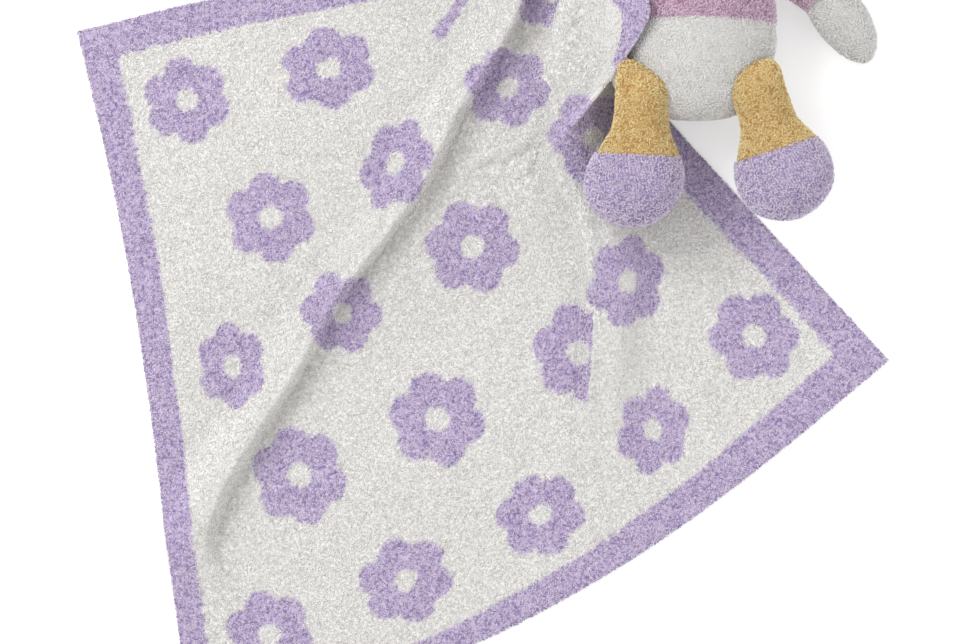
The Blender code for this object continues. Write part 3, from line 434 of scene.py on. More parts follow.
def creaseRise(x, y):  # a bell across each crease, fading to its ends
    height = np.zeros_like(x)
    for (startX, startY), (endX, endY), wide, high in creases:
        wayX, wayY = endX - startX, endY - startY
        length = math.hypot(wayX, wayY)
        along = ((x - startX) * wayX + (y - startY) * wayY) / length ** 2
        across = ((x - startX) * wayY - (y - startY) * wayX) / length
        ends = smoothStep(along / 0.35 + 0.3) * smoothStep((1 - along) / 0.35 + 0.3)
        height = height + high * np.exp(-((across / (wide / 2)) ** 2)) * ends
    return height


def torsoTop(x, y):  # height at which cloth lies on the torso, zero beside it
    spare = 6.5 * mm
    turn = np.clip(1 - 2 * (y - toyPlace["bottomY"] + spare) / (toyPlace["length"] + 2 * spare), -1, 1)
    share = bulbShare(np.arccos(turn), 0.25, 0.7)
    reach = np.maximum(share * (toyPlace["halfWidth"] + spare), 1e-4)
    inside = 1 - ((x - toyPlace["x"]) / reach) ** 2
    top = toyPlace["height"] + share * (toyPlace["halfDepth"] + spare) * np.sqrt(np.maximum(inside, 0))
    return np.where(inside > 0, top - 2.5 * mm, 0)


def blanketMiddle(u, v):
    # rows run between the two side edges and bend like the near and far ones; folds rise along lines to the hand
    longPart, longWhole = longTakenUp(u, v)
    tuckPart, tuckWhole = tuckHidden(u, v)
    t = ((u - longPart - tuckPart) / (1 - longWhole - tuckWhole)).ravel()
    vv = v.ravel()
    left = bowed(layout["near"], layout["far"], layout["sideBow"], layout["sideWave"], vv)
    near = bowed(layout["near"], layout["right"], layout["frontBow"], 0.0, t)
    far = throughPoints((layout["far"], *layout["farBends"], layout["held"]), t)
    flank = [(toyPlace["x"] + out * toyPlace["halfWidth"], toyPlace["bottomY"] + along * toyPlace["length"], high * toyPlace["height"])
             for out, along, high in layout["flankShares"]]
    right = throughPoints(((*layout["right"], 0.0), *flank, (*layout["held"], layout["heldHeight"])), vv)
    t, vv = t[:, None], vv[:, None]
    nearBend = near - (1 - t) * np.array(layout["near"]) - t * np.array(layout["right"])
    farBend = far - (1 - t) * np.array(layout["far"]) - t * np.array(layout["held"])
    plan = (1 - t) * left + t * right[:, :2] + (1 - vv ** 2) * nearBend + vv ** 3 * farBend
    x, y = plan[:, 0].reshape(u.shape), plan[:, 1].reshape(u.shape)
    low, more = layout["climbReach"]
    reach = low + more * v ** 4
    climb = np.maximum(right[:, 2].reshape(u.shape), 0) * smoothStep((u - 1 + reach) / reach)
    folds = longRise(u, v) + rollRise(u - tuckPart, v) + creaseRise(x, y)
    height = climb + folds * (1 - smoothStep(climb / toyPlace["height"]))
    onFlank = climb > toyPlace["height"] * layout["flankFrom"]
    return np.dstack((x, y, np.where(onFlank, np.maximum(height, torsoTop(x, y)), height)))


def edgeGrid(length, values):  # places across the cloth in shares: close together at the rounded rims, then even
    rim = np.array((0, 0.15, 0.45, 0.9, 1.5, 2.3)) * mm
    inner = np.linspace(3.4 * mm, length - 3.4 * mm, int(length / values["cell"]))
    return np.concatenate((rim, inner, length - rim[::-1])) / length


def blanketNormals(surface):
    return unit(np.cross(np.gradient(surface, axis=1), np.gradient(surface, axis=0)))


def petalInk(u, v, x, y, name):  # six round petals and an open heart, in the directions in which the cloth lies there
    heartU, heartV, wide, tall, turn, side = flowers[name]
    heart = blanketMiddle(np.array([[heartU]]), np.array([[heartV]]))[0, 0]
    way = math.radians(turn)
    a = ((x - heart[0]) * math.cos(way) + (y - heart[1]) * math.sin(way)) / wide
    b = ((y - heart[1]) * math.cos(way) - (x - heart[0]) * math.sin(way)) / tall
    away, out = np.hypot(a, b), blanketValues["petalOut"]
    inside = away < out
    for petal in range(6):
        angle = math.radians(30 + 60 * petal)
        petalA, petalB = out * math.cos(angle), out * math.sin(angle)
        inside |= np.hypot(a - petalA, b - petalB) < blanketValues["petalRadius"]
    if side:
        hidden = np.maximum(readTable("tuckTaken", v), 0.0) + layout["tuckWidth"]
        cut = readTable("tuckStart", v) + abs(side) * hidden
        inside &= (u < cut) if side < 0 else (u > cut)
    return inside & (away > blanketValues["heartRadius"]) & (np.abs(v - heartV) < 0.2)


def inkAt(u, v, x, y):  # 1 where the knit is lavender: the border and the flowers, their outlines roughened by the pile
    flatU, flatV = u * blanketValues["width"], v * blanketValues["length"]
    stepX, stepY = (softNoise(flatU, flatV, blanketValues["wobbleSize"], seed) * blanketValues["wobble"]
                    for seed in (11, 12))
    sides = {name: (low + (high - low) * share) * mm for (name, (low, high)), share in
             zip(blanketValues["border"].items(), (v, v, u, u))}
    # at the flank the right border shows wider, then narrower; beside the leg it is turned under
    flankBorder = [width * mm for width in blanketValues["flankBorder"]]
    sides["right"] = np.interp(v, blanketValues["flankShares"], flankBorder)
    underX, underFrom, underTo = blanketValues["underLeg"]
    ink = blanketValues["width"] - flatU + stepX < sides["right"]
    ink &= (x > underX) | (v < underFrom) | (v > underTo)
    ink |= flatU + stepX < sides["left"]
    ink |= (flatV + stepY < sides["near"]) | (blanketValues["length"] - flatV + stepY < sides["far"])
    for name in flowers:
        ink |= petalInk(u, v, x + stepX, y + stepY, name)
    (startX, startY), (endX, endY), half = blanketValues["sliver"]
    wayX, wayY = endX - startX, endY - startY
    along = np.clip(((x - startX) * wayX + (y - startY) * wayY) / (wayX ** 2 + wayY ** 2), 0, 1)
    off = np.hypot(x + stepX - startX - along * wayX, y + stepY - startY - along * wayY)
    return ink | ((off < half * (1.2 - 0.5 * along)) & (v > 0.8))


def readGrid(grid, row, column):  # bilinear reading of a grid of vectors at fractional places
    r = np.clip(np.floor(row).astype(int), 0, grid.shape[0] - 2)
    c = np.clip(np.floor(column).astype(int), 0, grid.shape[1] - 2)
    fr, fc = (row - r)[:, None], (column - c)[:, None]
    low, high = (grid[r + step, c] * (1 - fc) + grid[r + step, c + 1] * fc for step in (0, 1))
    return low * (1 - fr) + high * fr


uPlaces = edgeGrid(blanketValues["width"], blanketValues)
vPlaces = edgeGrid(blanketValues["length"], blanketValues)
uGrid, vGrid = np.meshgrid(uPlaces, vPlaces)
middle = blanketMiddle(uGrid, vGrid)
facing = blanketNormals(middle)
xFlat, yFlat = uGrid * blanketValues["width"], vGrid * blanketValues["length"]
lumps = (softNoise(xFlat, yFlat, blanketValues["lumpSize"], 3) * blanketValues["lump"]
         + softNoise(xFlat, yFlat, blanketValues["rippleSize"], 4) * blanketValues["ripple"])
rimAway = np.minimum(np.minimum(xFlat, blanketValues["width"] - xFlat),
                     np.minimum(yFlat, blanketValues["length"] - yFlat))
rimShare = np.clip(rimAway / blanketValues["edgeRound"], 0, 1)
half = blanketValues["ground"] / 2 * np.sqrt(1 - (1 - rimShare) ** 2)[..., None]
middle[..., 2] += blanketValues["middleHeight"]
inner = smoothStep(rimAway / (12 * mm))[..., None]
topFace = middle + facing * (half + (lumps[..., None] + 0.4 * mm) * inner)
underFace = middle - facing * half
underFace[..., 2] = np.maximum(underFace[..., 2], 0.3 * mm)
topFace[..., 2] = np.maximum(topFace[..., 2], underFace[..., 2])
rows, columns = uGrid.shape
numbers = np.arange(rows * columns).reshape(rows, columns)
rimMask = np.zeros((rows, columns), bool)
rimMask[[0, -1], :] = True
rimMask[:, [0, -1]] = True
underNumbers = np.where(rimMask, numbers, 0)
underNumbers[~rimMask] = rows * columns + np.arange(np.count_nonzero(~rimMask))
topCells = np.stack((numbers[:-1, :-1], numbers[:-1, 1:], numbers[1:, 1:], numbers[1:, :-1]), axis=-1)
underCells = np.stack((underNumbers[:-1, :-1], underNumbers[1:, :-1], underNumbers[1:, 1:],
                       underNumbers[:-1, 1:]), axis=-1)
blanketPoints = np.concatenate((topFace.reshape(-1, 3), underFace[~rimMask]))
cells = np.concatenate((topCells.reshape(-1, 4), underCells.reshape(-1, 4)))
# the knitted ground takes the ground finish, with its painted shade among the tufts
blanket = meshPiece("knittedBlanket", blanketPoints, cells.ravel(), np.full(len(cells), 4), [paintedShadeGrounds["blanket"]])
inkGrid = inkAt(uGrid, vGrid, middle[..., 0], middle[..., 1]).astype(np.float32)
inkAttribute = blanket.data.attributes.new("ink", "FLOAT", "POINT")
inkAttribute.data.foreach_set("value", np.concatenate((inkGrid.ravel(), inkGrid[~rimMask])))
print("blanket ground", len(blanket.data.polygons))


def clothSpots(spacing, seed):  # a jittered net of places over the cloth, with more along the rim
    rng = np.random.default_rng(seed)
    across, along = int(blanketValues["width"] / spacing), int(blanketValues["length"] / spacing)
    u, v = np.meshgrid((np.arange(across) + 0.5) / across, (np.arange(along) + 0.5) / along)
    u = np.clip(u.ravel() + rng.uniform(-0.5, 0.5, u.size) / across, 0, 1)
    v = np.clip(v.ravel() + rng.uniform(-0.5, 0.5, v.size) / along, 0, 1)
    count = blanketValues["rimCount"]
    way = (np.arange(count) + 0.5) / count

    def nearRim(size):
        low, high = (rng.uniform(0, blanketValues["rimSpread"], count) * mm / size for end in range(2))
        return low, 1 - high

    rimU = np.concatenate((way, way, *nearRim(blanketValues["width"])))
    rimV = np.concatenate((*nearRim(blanketValues["length"]), way, way))
    return np.concatenate((u, rimU)), np.concatenate((v, rimV))


topNormals = blanketNormals(topFace)
topTangents = unit(np.gradient(topFace, axis=1))
# where the folds press the cloth together the spots thin out, so the pile stays even over the real surface
alongU = np.gradient(topFace, axis=1) / np.gradient(xFlat, axis=1)[..., None]
alongV = np.gradient(topFace, axis=0) / np.gradient(yFlat, axis=0)[..., None]
stretch = np.linalg.norm(np.cross(alongU, alongV), axis=2)[..., None]
pileU, pileV = clothSpots(blanketValues["pileSpacing"], 21)
pileRow = np.interp(pileV, vPlaces, np.arange(rows))
pileColumn = np.interp(pileU, uPlaces, np.arange(columns))
surface = readGrid(stretch, pileRow, pileColumn)[:, 0]
pileKept = np.random.default_rng(22).uniform(0, 1, len(pileU)) < surface * blanketValues["pileKept"]
pileU, pileV, pileRow, pileColumn = (spots[pileKept] for spots in (pileU, pileV, pileRow, pileColumn))
pileRoots = readGrid(topFace, pileRow, pileColumn)
pileNormals = unit(readGrid(topNormals, pileRow, pileColumn))
pileTangents = unit(readGrid(topTangents, pileRow, pileColumn))
pileTangents = unit(pileTangents - pileNormals * np.sum(pileTangents * pileNormals, axis=1, keepdims=True))
pileInk = inkAt(pileU, pileV, pileRoots[:, 0], pileRoots[:, 1])
onBorder = np.minimum(np.minimum(pileU, 1 - pileU) * blanketValues["width"],
                      np.minimum(pileV, 1 - pileV) * blanketValues["length"]) < blanketValues["borderReach"]
pileGroups = {"borderPileNear": pileInk & onBorder & (pileV < 0.5),
              "borderPileFar": pileInk & onBorder & (pileV >= 0.5), "flowerPile": pileInk & ~onBorder}
for name, low, high in (("Near", 0, 0.24), ("Low", 0.24, 0.46), ("Middle", 0.46, 0.7), ("Far", 0.7, 1.01)):
    pileGroups["fieldPile" + name] = ~pileInk & (pileV >= low) & (pileV < high)
blanketPiles = []
for seed, (name, chosen) in enumerate(pileGroups.items()):
    tones = yarns["ivory"] if name.startswith("field") else yarns["knitLavender"]
    spots = (grid[chosen] for grid in (pileRoots, pileNormals, pileTangents))
    blanketPiles.append(fibres(name, *spots, blanketPile, tones, 31 + seed))
    print(name, np.count_nonzero(chosen), "tufts")
for piece in (blanket, *blanketPiles):
    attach(piece, "blanket")
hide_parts("blanket")


# ---- bunny

bunnyPile = {
    "length": 3.5 * mm, "radius": 0.48 * mm, "lift": 1.2 * mm, "tip": 2.5 * mm, "curl": 0.9 * mm, "sink": 0.4 * mm,
    "toneShares": (0.42, 0.42, 0.16),
}
bunnyValues = {
    "inset": 1.3 * mm,           # ground below the outline that the tufts fill
    "spacing": 1.27 * mm,
    "lump": 0.9 * mm, "lumpSize": 13 * mm,
    "around": 72,
    "stuffInset": 3.2 * mm,
}


def straightPath(start, direction):  # places along one direction, with the level side vector
    start, heading = np.array(start, dtype=float), unit(np.array(direction, dtype=float))
    side = unit(np.cross(up, heading))
    return lambda along: (start + np.outer(along, heading), np.tile(side, (len(along), 1)))


def bentPath(start, bend, end, height):  # one level quadratic bend, read by distance
    start, bend, end = (np.array((*point, height)) for point in (start, bend, end))
    fine = np.linspace(0, 1, 61)[:, None]
    points = (1 - fine) ** 2 * start + 2 * fine * (1 - fine) * bend + fine ** 2 * end
    steps = np.concatenate(([0.0], np.cumsum(np.linalg.norm(np.diff(points, axis=0), axis=1))))
    headings = unit(np.gradient(points, steps, axis=0))

    def read(along):
        held = np.clip(along, 0.0, steps[-1])
        places = np.stack([np.interp(held, steps, points[:, axis]) for axis in range(3)], axis=1)
        heading = unit(np.stack([np.interp(held, steps, headings[:, axis]) for axis in range(3)], axis=1))
        return places + heading * (along - held)[:, None], np.cross(up, heading)

    return read, steps[-1]


def formRings(path, along, wide, deep, rise=None, lumpSeed=5):
    # ellipses carried along the path, swollen by slow noise so that the filling shows
    places, sides = path(along)
    if rise is not None:
        places = places + np.outer(rise(along), up)
    turn = np.arange(bunnyValues["around"]) * 2 * math.pi / bunnyValues["around"]
    reach = np.hypot(wide, deep)[:, None] * 0.7
    lengthwise = np.outer(along, np.ones_like(turn))
    noise = softNoise(lengthwise + 1, 0.5 + reach * np.sin(turn), bunnyValues["lumpSize"], lumpSeed)
    noise = noise + softNoise(lengthwise + 2, 0.5 + reach * np.cos(turn), bunnyValues["lumpSize"], lumpSeed + 1)
    grow = 1 + noise * bunnyValues["lump"] * 0.5 / np.maximum(reach, 6 * mm)
    circle = np.cos(turn)[None, :, None] * (wide[:, None] * grow)[..., None] * sides[:, None, :]
    circle = circle + np.sin(turn)[None, :, None] * (deep[:, None] * grow)[..., None] * up
    rings = places[:, None, :] + circle
    rings[..., 2] = np.maximum(rings[..., 2], 0.8 * mm)
    return rings


def bulbForm(start, end, length, halfWidth, halfDepth, pear, fullness, rows, inset):
    # along, half width and half depth of a pear between two places, even in angle
    inner = length - 2 * inset
    first, last = (math.acos(np.clip(1 - 2 * (place - inset) / inner, -0.9995, 0.9995)) for place in (start, end))
    angles = np.linspace(first, last, rows)
    share = bulbShare(angles, pear, fullness)
    return inset + inner * (1 - np.cos(angles)) / 2, share * (halfWidth - inset), share * (halfDepth - inset)


def tableForm(shares, start, length, halfWidth, halfDepth, rows, inset):
    # radii read smoothly from a table of shares; squared radii blend, so a tip comes out round
    table = np.array(shares)
    leadTip, tipped = table[0, 1] <= 0, table[-1, 1] <= 0
    t = np.linspace(0, 1, rows)
    if leadTip:
        t = 0.0005 + 0.9995 * t ** 1.8
    if tipped:
        t = 0.9995 * np.sin(t * math.pi / 2) ** 1.3
    square = cubicThrough(table[:, 0], table[:, 1] ** 2, t)
    radius = np.sqrt(np.maximum(square, 1e-5))
    wide, deep = (np.maximum(radius * half - inset, 0.1 * mm) for half in (halfWidth, halfDepth))
    return start + inset * leadTip + t * (length - inset * (leadTip + tipped)), wide, deep


def ringSpots(rings, spacing, seed):
    # places spread by a golden-ratio sequence, even over the area of the skinned rings
    closed = np.concatenate((rings, rings[:, :1]), axis=1)
    alongStep, aroundStep = closed[1:, :-1] - closed[:-1, :-1], closed[:-1, 1:] - closed[:-1, :-1]
    areas = np.linalg.norm(np.cross(alongStep, aroundStep), axis=2).sum(axis=1)
    total = np.concatenate(([0.0], np.cumsum(areas)))
    count = int(total[-1] / spacing ** 2)
    order = np.arange(count)
    steps = (0.7548776662466927, 0.5698402909980532)  # one over the plastic number, and its square
    first, second = ((0.5 + order * step + seed * shift) % 1 for step, shift in zip(steps, (0.37, 0.61)))
    row = np.interp(first * total[-1], total, np.arange(len(total)))
    column = second * (closed.shape[1] - 1)
    alongVector = np.gradient(closed, axis=0)
    aroundVector = (np.roll(rings, -1, axis=1) - np.roll(rings, 1, axis=1))
    aroundVector = np.concatenate((aroundVector, aroundVector[:, :1]), axis=1)
    normals = unit(np.cross(aroundVector, alongVector))
    tangents = unit(aroundVector)
    roots = readGrid(closed, row, column)
    normals = unit(readGrid(normals, row, column))
    tangents = readGrid(tangents, row, column)
    tangents = unit(tangents - normals * np.sum(tangents * normals, axis=1, keepdims=True))
    return roots, normals, tangents


def carry(piece, ride, blend=None):  # on its body, or, where a blend is given, on no body, its placing baked into its mesh
    if blend:
        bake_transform(piece)
    else:
        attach(piece, ride)


def dress(name, rings, colour, seed, nodes, ride, blend=None, keep=None):
    # the ground of one cover, darker as painted shade among the tufts, and its tufts, riding together
    cover = closedForm(name, rings, paintedShadeGrounds[colour])
    roots, normals, tangents = ringSpots(rings, bunnyValues["spacing"], seed)
    if keep is not None:
        chosen = keep(roots)
        roots, normals, tangents = roots[chosen], normals[chosen], tangents[chosen]
    pilePieces = fibres(name + "Curls", roots, normals, tangents, bunnyPile, yarns[colour], 50 + seed)
    for piece in (cover, pilePieces):
        carry(piece, ride, blend)
    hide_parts(*nodes)
    print(name, len(cover.data.polygons), "faces", len(roots), "tufts")
    return cover


def stuff(name, parts, nodes, ride, blend=None):
    # the loose fibre inside: the cover's own rings drawn in by a fixed thickness, one form per limb
    rings = np.concatenate([formRings(*part) for part in parts])
    form = closedForm(name, rings, fibreFill)
    carry(form, ride, blend)
    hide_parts(*nodes)


inset = bunnyValues["inset"]
torso = {"pear": 0.25, "fullness": 0.7, "hem": 0.071, "neck": 0.156, "hemDrop": 3.2 * mm, "hemSag": 4 * mm, "hemReach": 18 * mm}
torsoPath = straightPath((toyPlace["x"], toyPlace["bottomY"], toyPlace["height"]), (0, 1, 0))
torsoSize = (toyPlace["length"], toyPlace["halfWidth"], toyPlace["halfDepth"], torso["pear"], torso["fullness"])


def lowerHem(rings):  # the jumper's edge lies lower, most of all at the sides, fading away from it
    aside = ((rings[..., 0] - toyPlace["x"]) / toyPlace["halfWidth"]) ** 2
    near = np.exp(-(((rings[..., 1] - toyPlace["bottomY"] - torso["hem"]) / torso["hemReach"]) ** 2))
    rings[..., 1] -= (torso["hemDrop"] + torso["hemSag"] * aside) * near
    return rings


lowerRings = lowerHem(formRings(torsoPath, *bulbForm(inset, torso["hem"], *torsoSize, 40, inset)))
jumperRings = lowerHem(formRings(torsoPath, *bulbForm(torso["hem"], torso["neck"], *torsoSize, 40, inset)))
lowerCover = dress("bellyCover", lowerRings, "white", 1, ["torso_lower_cover"], "torso")
jumperCover = dress("jumperCover", jumperRings, "pink", 2, ["jumper"], "torso")
stuffInset = bunnyValues["stuffInset"]
stuff("torsoStuffing", [(torsoPath, *bulbForm(stuffInset, torso["neck"] - 2 * mm, *torsoSize, 40, stuffInset))], ["torso_filling"], "torso")

head = {"length": 0.098, "halfWidth": 0.0555, "halfDepth": 0.0465, "pear": 0.12, "fullness": 0.75, "sunk": 0.012, "bottomY": 0.3333, "height": 0.0468}
headPath = straightPath((toyPlace["x"], head["bottomY"], head["height"]), (0, 1, 0))
headSize = (head["length"], head["halfWidth"], head["halfDepth"], head["pear"], head["fullness"])
headRings = formRings(headPath, *bulbForm(head["sunk"], head["length"] - inset, *headSize, 56, inset))
faceSpots = {"rightEye": (-0.021, 0.055, 0.0045, 0.0055), "leftEye": (0.021, 0.055, 0.0045, 0.0055), "nose": (0.0, 0.039, 0.0065, 0.0045)}


def offFace(roots):  # no curls where the eyes and the nose are stitched
    clear = np.ones(len(roots), bool)
    for out, along, wide, high in faceSpots.values():
        x, y = roots[:, 0] - toyPlace["x"] - out, roots[:, 1] - head["bottomY"] - along
        clear &= ~(((x / (wide * 0.95)) ** 2 + (y / (high * 0.95)) ** 2 < 1) & (roots[:, 2] > head["height"]))
    return clear


headCover = dress("headCover", headRings, "white", 3, ["head_cover"], "head", keep=offFace)
stuff("headStuffing", [(headPath, *bulbForm(head["sunk"] + 2 * mm, head["length"] - stuffInset, *headSize, 40, stuffInset))], ["head_filling"], "head")


def stitchedPad(name, node):
    # satin stitch: an oval dome in the node's own box, ridged by threads that lie side by side
    low, high = (np.array(corner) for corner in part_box(node))
    turn = np.arange(64) * 2 * math.pi / 64
    swing = np.linspace(0.02, math.pi - 0.02, 32)
    middle, halfSize = (low + high) / 2, (high - low) / 2
    circle = np.stack((np.cos(turn), np.sin(turn), np.zeros(64)), axis=1)
    rings = middle + halfSize * (np.sin(swing)[:, None, None] * circle - np.cos(swing)[:, None, None] * up)
    rings[..., 2] += 0.12 * mm * np.sin(rings[..., 0] / (0.11 * mm)) * np.clip(-np.cos(swing), 0, 1)[:, None] * -1
    pad = closedForm(name, rings[:, ::-1], darkThread)
    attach(pad, "head")
    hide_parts(node)


for name in ("left_eye", "right_eye", "nose"):
    stitchedPad(name.split("_")[0] + "EyeStitches" if "eye" in name else "noseStitches", name)


def headTop(x, y):  # height of the head's surface over a place on it
    turn = np.arccos(np.clip(1 - 2 * (y - head["bottomY"]) / head["length"], -1, 1))
    share = bulbShare(turn, head["pear"], head["fullness"])
    inside = np.maximum(1 - ((x - toyPlace["x"]) / (head["halfWidth"] * share)) ** 2, 0)
    return head["height"] + head["halfDepth"] * share * np.sqrt(inside)


def threadRun(points, radius, around=8):  # rings of one round thread along a line of points
    heading = unit(np.gradient(points, axis=0))
    side = unit(np.cross(heading, np.array((0.31, 0.17, 0.93))))
    other = np.cross(heading, side)
    turn = np.arange(around) * 2 * math.pi / around
    circle = (np.cos(turn)[None, :, None] * side[:, None, :]
              + np.sin(turn)[None, :, None] * other[:, None, :])
    return points[:, None, :] + radius * circle


# the mouth: a short stitch down from the nose and two small bends beside it
mouth = {"noseY": head["bottomY"] + 0.0345, "drop": 0.0065, "reach": 0.0085, "threadRadius": 0.55 * mm}
way = np.linspace(0, 1, 24)
mouthRuns = {
    "mouthStitchMiddle": (np.full(24, toyPlace["x"]), mouth["noseY"] - mouth["drop"] * way),
    "mouthStitchLeft": (toyPlace["x"] + mouth["reach"] * way, mouth["noseY"] - mouth["drop"] - 0.0032 * np.sin(way * math.pi * 0.8)),
    "mouthStitchRight": (toyPlace["x"] - mouth["reach"] * way, mouth["noseY"] - mouth["drop"] - 0.0032 * np.sin(way * math.pi * 0.8)),
}
for name, (x, y) in mouthRuns.items():
    line = np.stack((x, y, headTop(x, y) + 0.9 * mm), axis=1)
    stitch = closedForm(name, threadRun(line, mouth["threadRadius"]), darkThread)
    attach(stitch, "head")

# the tack: short thread loops between the blanket's corner and the palm
tackLow, tackHigh = (np.array(corner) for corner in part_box("corner_tack"))
tackMiddle, tackReach = (tackLow + tackHigh) / 2, (tackHigh - tackLow) / 2
for number in range(6):
    turn = number * math.pi / 3
    lean = 0.5 * math.sin(2.4 * number)
    rise = np.linspace(-1, 1, 16)[:, None]
    out = np.array((math.cos(turn), math.sin(turn), 0)) * (tackReach[0] - 1.0 * mm)
    line = (tackMiddle + out * (1 - 0.45 * rise ** 2 * lean) + up * rise * (tackReach[2] - 0.3 * mm)
            + np.array((-out[1], out[0], 0)) * lean * rise)
    loop = closedForm("tackThread%d" % (number + 1), threadRun(line, 0.75 * mm), ivoryThread)
    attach(loop, "blanket")
    if number == 0:
        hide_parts("corner_tack")

sleeveShares = ((0.0, 0.95), (0.3, 1.0), (0.55, 1.02), (0.8, 1.0), (1.0, 0.92))
handShares = ((0.0, 0.84), (0.15, 0.94), (0.38, 1.0), (0.62, 0.93), (0.82, 0.7), (0.95, 0.38), (1.0, 0.0))
arms = {
    "left": {"side": 1, "elbow": (0.0803, 0.1102), "tip": (0.1177, 0.0402), "handHeight": 0.0163},
    "right": {"side": -1, "elbow": (-0.0809, 0.1374), "tip": (-0.1115, 0.2122), "handHeight": 0.0425},
}
armValues = {"half": 0.0165, "height": 0.045, "shoulderAlong": 0.122, "shoulderOut": 0.01, "cuffShare": 0.6,
             "handWidth": 0.0175, "handDepth": 0.016, "droopStart": 0.3, "seamShare": 0.36, "blendLength": 0.022}
for seed, (name, arm) in enumerate(arms.items()):
    spots = [(toyPlace["x"] + out, toyPlace["bottomY"] + along) for out, along in
             ((arm["side"] * armValues["shoulderOut"], armValues["shoulderAlong"]), arm["elbow"], arm["tip"])]
    path, total = bentPath(*spots, armValues["height"])
    cuff = total * armValues["cuffShare"]

    def droop(along, total=total, drop=arm["handHeight"] - armValues["height"]):
        return drop * smoothStep((along / total - armValues["droopStart"]) / (1 - armValues["droopStart"]))

    seamAlong = armValues["seamShare"] * total
    bendFrom, bendTo = path(np.array((seamAlong, seamAlong + armValues["blendLength"])))[0]
    sleeveHalf = (armValues["half"], armValues["half"])
    handSize = (cuff, total - cuff, armValues["handWidth"], armValues["handDepth"])
    blend = ("torso", tuple(bendFrom), tuple(bendTo))
    sleeveForm = tableForm(sleeveShares, 0.02, cuff - 0.02, *sleeveHalf, 26, inset)
    sleeveRings = formRings(path, *sleeveForm, droop, 7 + seed)
    handRings = formRings(path, *tableForm(handShares, *handSize, 30, inset), droop, 9 + seed)
    sleeve = dress(name + "Sleeve", sleeveRings, "pink", 4 + seed, [name + "_sleeve"],
                   name + "_arm", blend)
    hand = dress(name + "Hand", handRings, "white", 6 + seed, [name + "_hand"], name + "_arm")
    armForms = (tableForm(sleeveShares, 0.03, cuff - 0.032, *sleeveHalf, 20, stuffInset),
                tableForm(handShares, *handSize, 24, stuffInset))
    stuff(name + "ArmStuffing", [(path, *form, droop) for form in armForms], [name + "_arm_filling"],
          name + "_arm", blend)

legShares = ((0.0, 0.0), (0.03, 0.4), (0.09, 0.69), (0.18, 0.9), (0.3, 1.0), (0.5, 1.0), (0.68, 1.05), (0.82, 1.2), (0.93, 1.42), (1.0, 1.55))
footShares = ((0.0, 0.87), (0.13, 0.95), (0.34, 1.0), (0.58, 0.95), (0.78, 0.78), (0.92, 0.5), (1.0, 0.0))
legs = {"right": {"hip": (-0.0353, 0.0436), "lean": -2.5, "bend": -0.0042, "slant": 0.5}, "left": {"hip": (0.0327, 0.0442), "lean": 18, "bend": 0.0, "slant": -0.15}}
wideShares = ((0.0, 0.0), (0.02, 0.6), (0.06, 0.86), (0.12, 0.98), (0.22, 1.04), (0.4, 1.02), (0.58, 1.03), (0.75, 1.13), (0.9, 1.4), (1.0, 1.55))
legValues = {"half": 0.0177, "depthShare": 0.92, "length": 0.068, "hipHeight": 0.07, "ankleHeight": 0.05, "footLength": 0.048, "footWidth": 0.033, "footDepth": 0.0285, "from": 0.008}
legHalf = (legValues["half"], legValues["half"] * legValues["depthShare"])
footHalf = (legValues["footWidth"], legValues["footDepth"])


def legRise(along):
    return legValues["hipHeight"] + (legValues["ankleHeight"] - legValues["hipHeight"]) * smoothStep(along / legValues["length"])


for seed, (name, leg) in enumerate(legs.items()):
    lean = math.radians(leg["lean"])
    heading = np.array((math.sin(lean), -math.cos(lean), 0))
    hip = np.array((toyPlace["x"] + leg["hip"][0], toyPlace["bottomY"] + leg["hip"][1], 0))
    line = straightPath(hip, heading)

    def path(along, line=line, bend=leg["bend"]):  # straight, stepping aside a little toward the foot
        places, sides = line(along)
        return places + sides * (bend * smoothStep((along - 0.05) / 0.05))[:, None], sides

    blend = ("torso", tuple(hip + heading * 0.008 + up * 0.07), tuple(hip + heading * 0.026 + up * 0.066))
    size = (legValues["from"], legValues["length"] - legValues["from"], *legHalf, 34, inset)
    along, wide, _ = tableForm(wideShares, *size)
    legRings = formRings(path, along, wide, tableForm(legShares, *size)[2], legRise, 11 + seed)
    # its upper end is sewn on slantwise
    across = (legRings - hip) @ np.cross(up, heading)
    legRings += heading * (leg["slant"] * across * (1 - smoothStep((along - legValues["from"]) / 0.03))[:, None])[..., None]
    footForm = tableForm(footShares, legValues["length"], legValues["footLength"], *footHalf, 30, inset)
    footRings = formRings(path, *footForm, legRise, 13 + seed)
    legCover = dress(name + "Leg", legRings, "tan", 8 + seed, [name + "_leg"], name + "_leg", blend)
    foot = dress(name + "Foot", footRings, "lavender", 10 + seed, [name + "_foot"],
                 name + "_leg")
    legForms = (tableForm(legShares, 0.012, legValues["length"] - 0.012, *legHalf, 24, stuffInset),
                tableForm(footShares, legValues["length"] + 1 * mm, legValues["footLength"] - 1 * mm,
                          *footHalf, 24, stuffInset))
    stuff(name + "LegStuffing", [(path, *form, legRise) for form in legForms], [name + "_leg_filling"],
          name + "_leg", blend)

